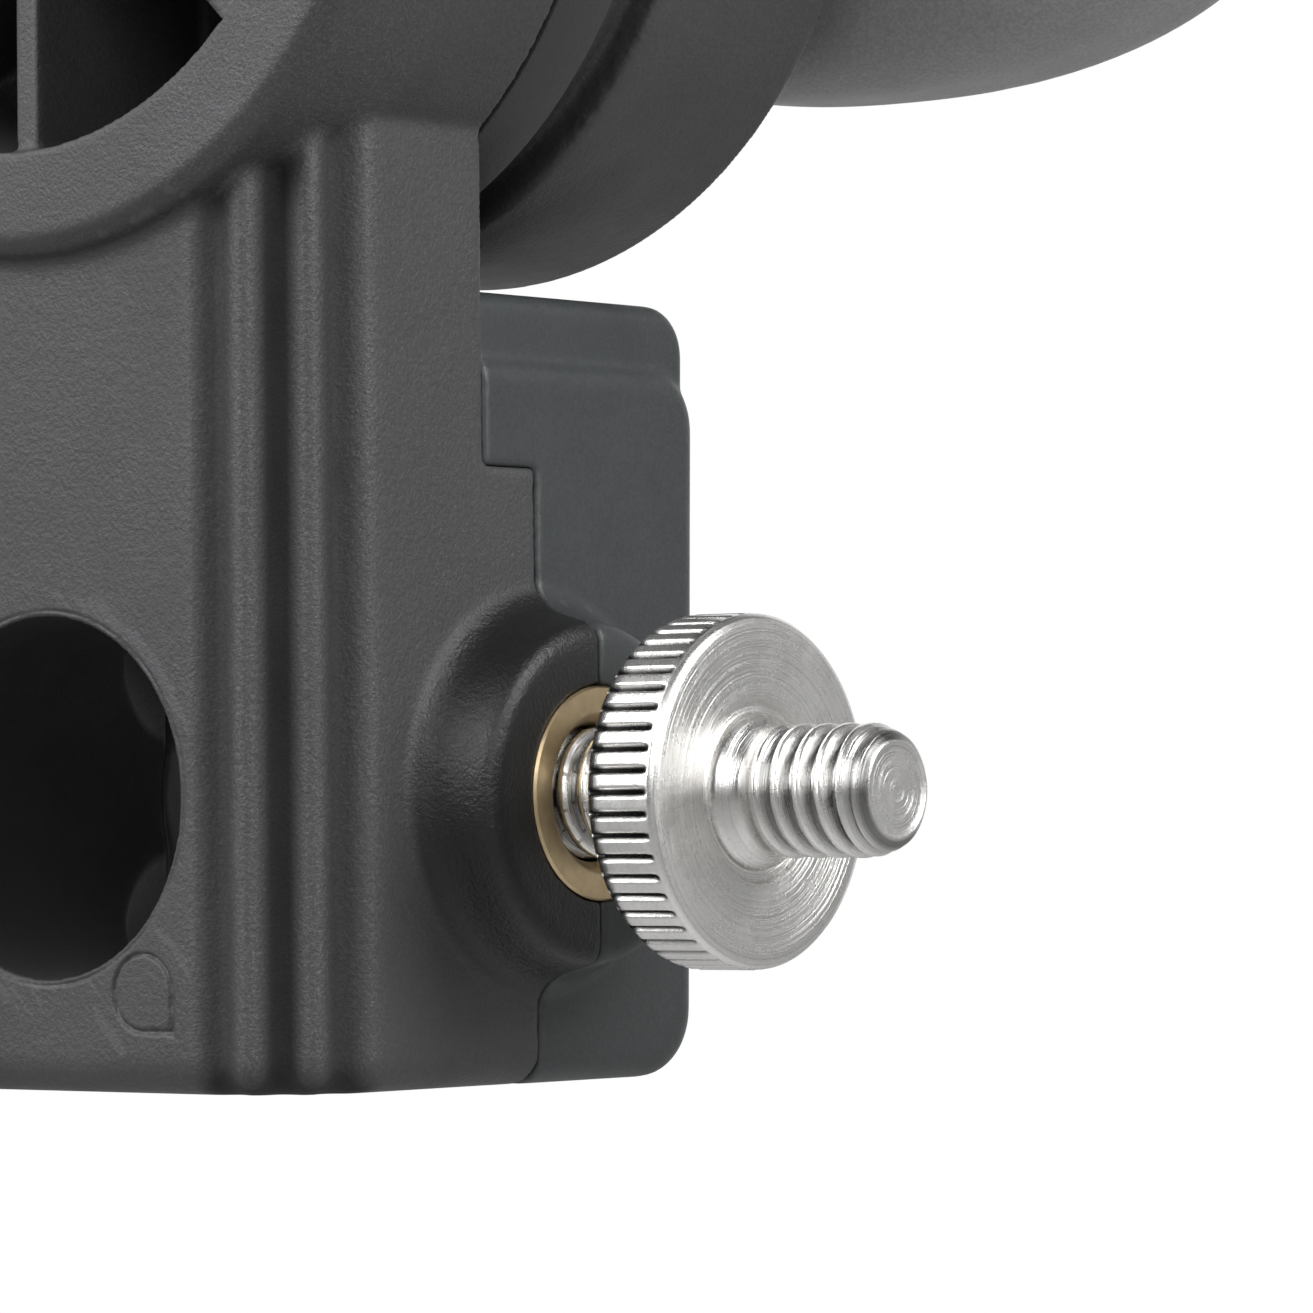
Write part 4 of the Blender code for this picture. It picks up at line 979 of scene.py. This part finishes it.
def lever_handle():
    """Oval paddle with soft edges, a collar for the insert and a pocket for the cap screw."""
    count = 192

    def full(share):
        """Fills an ellipse out towards its box."""
        return math.copysign(abs(share) ** 0.88, share)

    def ring(y, inset):
        points = []
        for i in range(count):
            angle = 2 * math.pi * i / count
            x = LEVER_X + (LEVER_A - inset) * full(math.cos(angle))
            z = HUB_Z + (LEVER_B - inset) * full(math.sin(angle))
            points.append((x, y, z))
        return points

    bend = [math.radians(90 * i / 8) for i in range(9)]
    edge = [(LEVER_ROUND * (1 - math.cos(a)), LEVER_ROUND * (1 - math.sin(a))) for a in bend]
    rings = [ring(LEVER_FRONT + depth, inset) for depth, inset in edge]
    rings += [ring(LEVER_BACK - depth, inset) for depth, inset in reversed(edge)]
    paddle = loft(rings)
    collar = rounded([(0.0, 20.7), (10.5, 20.7), (10.5, 28.0), (0.0, 28.0)], 0.7)
    union(paddle, turned(collar, "Y", HUB, 128))
    cut(paddle, cylinder("Y", HUB, 7.0, 18.7, 26.3))
    cut(paddle, prism(spline(0.25), "Y", 25.3, 28.9))
    cut(paddle, cylinder("Y", HUB, 4.8, 30.0, 38.0), cylinder("Y", HUB, 2.6, 26.3, 36.0, 48))
    return soften(paddle, 0.32, 8)


def spline(clearance):
    """Outline of twelve splines about the hub's axis."""
    points = []
    for i in range(12):
        for offset, radius in ((-7.5, 5.8), (-6.0, 6.5), (0.0, 6.5), (6.0, 6.5), (7.5, 5.8), (15.0, 5.8)):
            angle = math.radians(30 * i + offset)
            reach = radius + clearance
            points.append((reach * math.cos(angle), HUB_Z + reach * math.sin(angle)))
    return points


def lever_insert():
    """Splined steel nut with a flange; its thread is plain, because nothing shows it."""
    flange = rounded([(0.0, 18.8), (8.5, 18.8), (8.5, 20.3), (0.0, 20.3)], 0.2, 2)
    nut = union(prism(spline(0.0), "Y", 19.8, 28.6), turned(flange, "Y", HUB, 96))
    cut(nut, cylinder("Y", HUB, BOLT_BORE, 16.8, 26.7, 64))
    return cut(nut, cylinder("Y", HUB, 2.2, 24.7, 30.6, 32))


def lever_screw():
    """Cap screw with a hexagon socket."""
    profile = [
        (0.0, 27.0), (1.5, 27.0), (2.0, 27.5), (2.0, 34.1), (4.0, 34.1), (4.2, 34.3), (4.2, 35.0),
        (4.0, 35.4), (3.5, 35.6), (0.0, 35.6),
    ]
    screw = turned(profile, "Y", HUB, 64)
    return cut(screw, prism(circle(1.7, 6, HUB), "Y", 34.4, 37.6))


def washer():
    profile = [(4.2, 17.3), (10.3, 17.3), (10.5, 17.45), (10.5, 18.35), (10.3, 18.5), (4.2, 18.5)]
    return turned(profile, "Y", HUB, 128)


def umbrella_insert():
    profile = [(3.05, 9.1), (4.2, 9.1), (4.2, 16.35), (4.1, 16.45), (3.3, 16.45), (3.05, 16.1)]
    return turned(flip(profile), "Y", (0.0, HEAD_TOP - UMBRELLA_Z), 64)


def umbrella_pad():
    profile = [(0.0, 5.3), (2.5, 5.3), (2.8, 5.6), (2.8, 6.5), (2.6, 6.7), (0.0, 6.7)]
    return turned(flip(profile), "Y", (0.0, HEAD_TOP - UMBRELLA_Z), 64)


# ------------------------------------------------------------------ pieces

finish(front_body(), "front_body", "front_body_half", GRAINED)
finish(rear_body(), "rear_body", "rear_body_half", SMOOTH)
plate = toothed_ring(HUB_R, PLATE_BACK_Y + 0.12, -1.0, 1, 0, 0.25, PLATE_RIM)
sharpen(finish(plate, "tooth_plate", "fixed_tooth_plate", TOOTH))
spring = finish(coil(6.0, 0.5, -3.6, 6.9, 4), "return_spring", "release_spring", SPRING)
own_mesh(spring)
sharpen(finish(tilt_bolt(), "hub_bolt", "tilt_bolt", OXIDE))

locks = (("stand", STAND_LOCK_Z, STAND_NICKEL), ("stud", HEAD_TOP - STUD_LOCK_Z, STUD_NICKEL))
for lock, lock_z, coat in locks:
    sharpen(finish(brass_insert(lock_z), f"{lock}_insert", f"{lock}_lock_insert", BRASS))
    sharpen(finish(clamp_pad(lock_z), f"{lock}_pad", f"{lock}_lock_pad", BRASS))
    sharpen(finish(double_screw(lock_z), f"{lock}_knob", f"{lock}_lock_screw", coat), 50)

finish(arm_body(), "arm_main", "arm_body", GRAINED)
finish(arm_cap(), "arm_cover", "arm_cap", SMOOTH)
ring = toothed_ring(19.0, DISC_FRONT + 1.8, DISC_FRONT, -1, 1, 0.2)
sharpen(finish(ring, "tooth_ring", "moving_tooth_ring", TOOTH))
sharpen(finish(umbrella_insert(), "umbrella_insert", "umbrella_lock_insert", BRASS))
sharpen(finish(umbrella_pad(), "umbrella_pad", "umbrella_lock_pad", BRASS))
sharpen(finish(thumb_screw(), "umbrella_knob", "umbrella_lock_screw", THUMB_NICKEL), 50)
sharpen(finish(spigot(), "spigot", "top_stud", SPIGOT), 50)

sharpen(finish(washer(), "lever_washer", "thrust_washer", STEEL))
sharpen(finish(lever_insert(), "lever_nut", "lever_insert", STEEL))
finish(lever_handle(), "paddle", "lever_handle", LEVER)
coil_spring = finish(coil(3.5, 0.35, 30.2, 33.9, 3), "lever_coil", "lever_spring", SPRING)
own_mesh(coil_spring)
sharpen(finish(lever_screw(), "lever_cap_screw", "lever_screw", OXIDE))

places = [(x, row) for x in (-SCREW_X, SCREW_X) for row in range(2)]
for number, (x, row) in enumerate(places, 1):
    screw = cross_screw(x, STAND_SCREWS[row])
    sharpen(finish(screw, f"block_screw_{number}", f"body_screw_{number}", OXIDE))
    screw = cross_screw(x, HEAD_SCREWS[row])
    screw.data.transform(HEAD_TURN)
    sharpen(finish(screw, f"arm_screw_{number}", f"head_screw_{number}", OXIDE))


# ------------------------------------------------------------------ stage, light and camera

def stage():
    """Pale studio floor, a light stand's height below the bracket; lifted towards white for the camera."""
    half, drop = 5.0, 0.9
    mesh = bpy.data.meshes.new("floor")
    corners = [(-half, -half, 0), (half, -half, 0), (half, half, 0), (-half, half, 0)]
    mesh.from_pydata(corners, [], [(0, 1, 2, 3)])
    floor = new_object(mesh, "floor")
    floor.location.z = -drop
    n = Nodes("floor_paper")
    tone = n.spread(n.noise(3.0, 2.0, 0.5), 0.3, 0.7, 0.0, 1.0)
    paper = n.mix(tone, (0.90, 0.90, 0.90), (0.92, 0.92, 0.92))
    lift = n.times(n.add("ShaderNodeLightPath").outputs["Is Camera Ray"], 0.45)
    material = n.set(Base_Color=paper, Roughness=0.7, Emission_Color=paper, Emission_Strength=lift)
    floor.data.materials.append(material)


def toward(azimuth, elevation, distance):
    a, e = math.radians(azimuth), math.radians(elevation)
    return Vector((math.cos(a) * math.cos(e), math.sin(a) * math.cos(e), math.sin(e))) * distance


def soft_box(name, azimuth, elevation, distance, width, height, power):
    """Rectangular light that faces a point in the stand block; angles in degrees, lengths in metres."""
    middle = Vector((0.0, 0.0, 0.04))
    data = bpy.data.lights.new(name, "AREA")
    data.shape = "RECTANGLE"
    data.size = width
    data.size_y = height
    data.energy = power
    lamp = bpy.data.objects.new(name, data)
    bpy.context.scene.collection.objects.link(lamp)
    lamp.location = middle + toward(azimuth, elevation, distance)
    lamp.rotation_euler = (middle - lamp.location).to_track_quat("-Z", "Y").to_euler()


SHADE = 0.05
# Pale parts of the room, as azimuth, elevation, cosines where the glow starts and is full, and strength:
# behind the bracket, above, below and at the two sides.
GLOWS = (
    (128.2, 0, 0.50, 0.92, 1.0), (170, 55, 0.60, 0.95, 0.7), (150, -50, 0.70, 0.95, 0.5),
    (-145, 0, 0.60, 0.95, 0.30), (52, 0, 0.60, 0.98, 0.25),
)


def surround():
    """White for the camera; what lights the bracket is a dim room that glows as GLOWS says."""
    world = bpy.data.worlds.new("studio")
    bpy.context.scene.world = world
    world.use_nodes = True
    tree = world.node_tree
    back = tree.nodes["Background"]
    back.inputs["Color"].default_value = (1.0, 1.0, 1.0, 1.0)

    def add(kind, operation=None):
        node = tree.nodes.new(kind)
        if operation:
            node.operation = operation
        return node

    def ramp(value, low, high, to_low, to_high):
        node = add("ShaderNodeMapRange")
        node.interpolation_type = "SMOOTHSTEP" if to_low == 0.0 else "LINEAR"
        for socket, number in zip(node.inputs[1:5], (low, high, to_low, to_high)):
            socket.default_value = number
        tree.links.new(value, node.inputs[0])
        return node.outputs[0]

    def total(a, b):
        node = add("ShaderNodeMath", "ADD")
        tree.links.new(a, node.inputs[0])
        tree.links.new(b, node.inputs[1])
        return node.outputs[0]

    def along(direction):
        node = add("ShaderNodeVectorMath", "DOT_PRODUCT")
        tree.links.new(ray, node.inputs[0])
        node.inputs[1].default_value = direction
        return node.outputs["Value"]

    ray = add("ShaderNodeTexCoord").outputs["Generated"]
    level = None
    for azimuth, elevation, low, high, strength in GLOWS:
        glow = ramp(along(toward(azimuth, elevation, 1)), low, high, 0.0, strength)
        level = total(level, glow) if level else glow
    level = ramp(level, 0.0, 2.0, SHADE, 2.0)
    seen = add("ShaderNodeLightPath").outputs["Is Camera Ray"]
    pick = add("ShaderNodeMix")
    pick.data_type = "FLOAT"
    tree.links.new(seen, pick.inputs[0])
    tree.links.new(level, pick.inputs[2])
    pick.inputs[3].default_value = 1.0
    tree.links.new(pick.outputs[0], back.inputs["Strength"])


def light():
    surround()
    soft_box("left_box", -115, 30, 0.6, 0.45, 0.45, 3.9)
    soft_box("front_box", -45, 24, 0.7, 0.40, 0.40, 1.8)
    soft_box("right_box", 12, 28, 0.6, 0.30, 0.45, 3.4)


def camera():
    """Long lens from the front right, level with the lock screw, looking slightly up."""
    azimuth, pitch, roll = math.radians(38.216), math.radians(1.342), math.radians(-0.523)
    away, aside, height = 0.32348, 0.018194, 0.013229
    side = Vector((math.cos(azimuth), math.sin(azimuth), 0))
    level = Vector((-math.sin(azimuth), math.cos(azimuth), 0))
    ahead = level * math.cos(pitch) + Vector((0, 0, math.sin(pitch)))
    up = side.cross(ahead)
    turned_side = side * math.cos(roll) + up * math.sin(roll)
    turned_up = up * math.cos(roll) - side * math.sin(roll)
    data = bpy.data.cameras.new("camera")
    data.lens = 178.2
    data.sensor_width = 36.0
    data.clip_start = 0.01
    data.clip_end = 50.0
    shot = bpy.data.objects.new("camera", data)
    bpy.context.scene.collection.objects.link(shot)
    place = side * aside - level * away + Vector((0, 0, height))
    basis = Matrix((turned_side, turned_up, -ahead)).transposed().to_4x4()
    shot.matrix_world = Matrix.Translation(place) @ basis
    bpy.context.scene.camera = shot


stage()
light()
camera()
bpy.context.scene.view_settings.view_transform = "Standard"
bpy.context.scene.view_settings.look = "None"
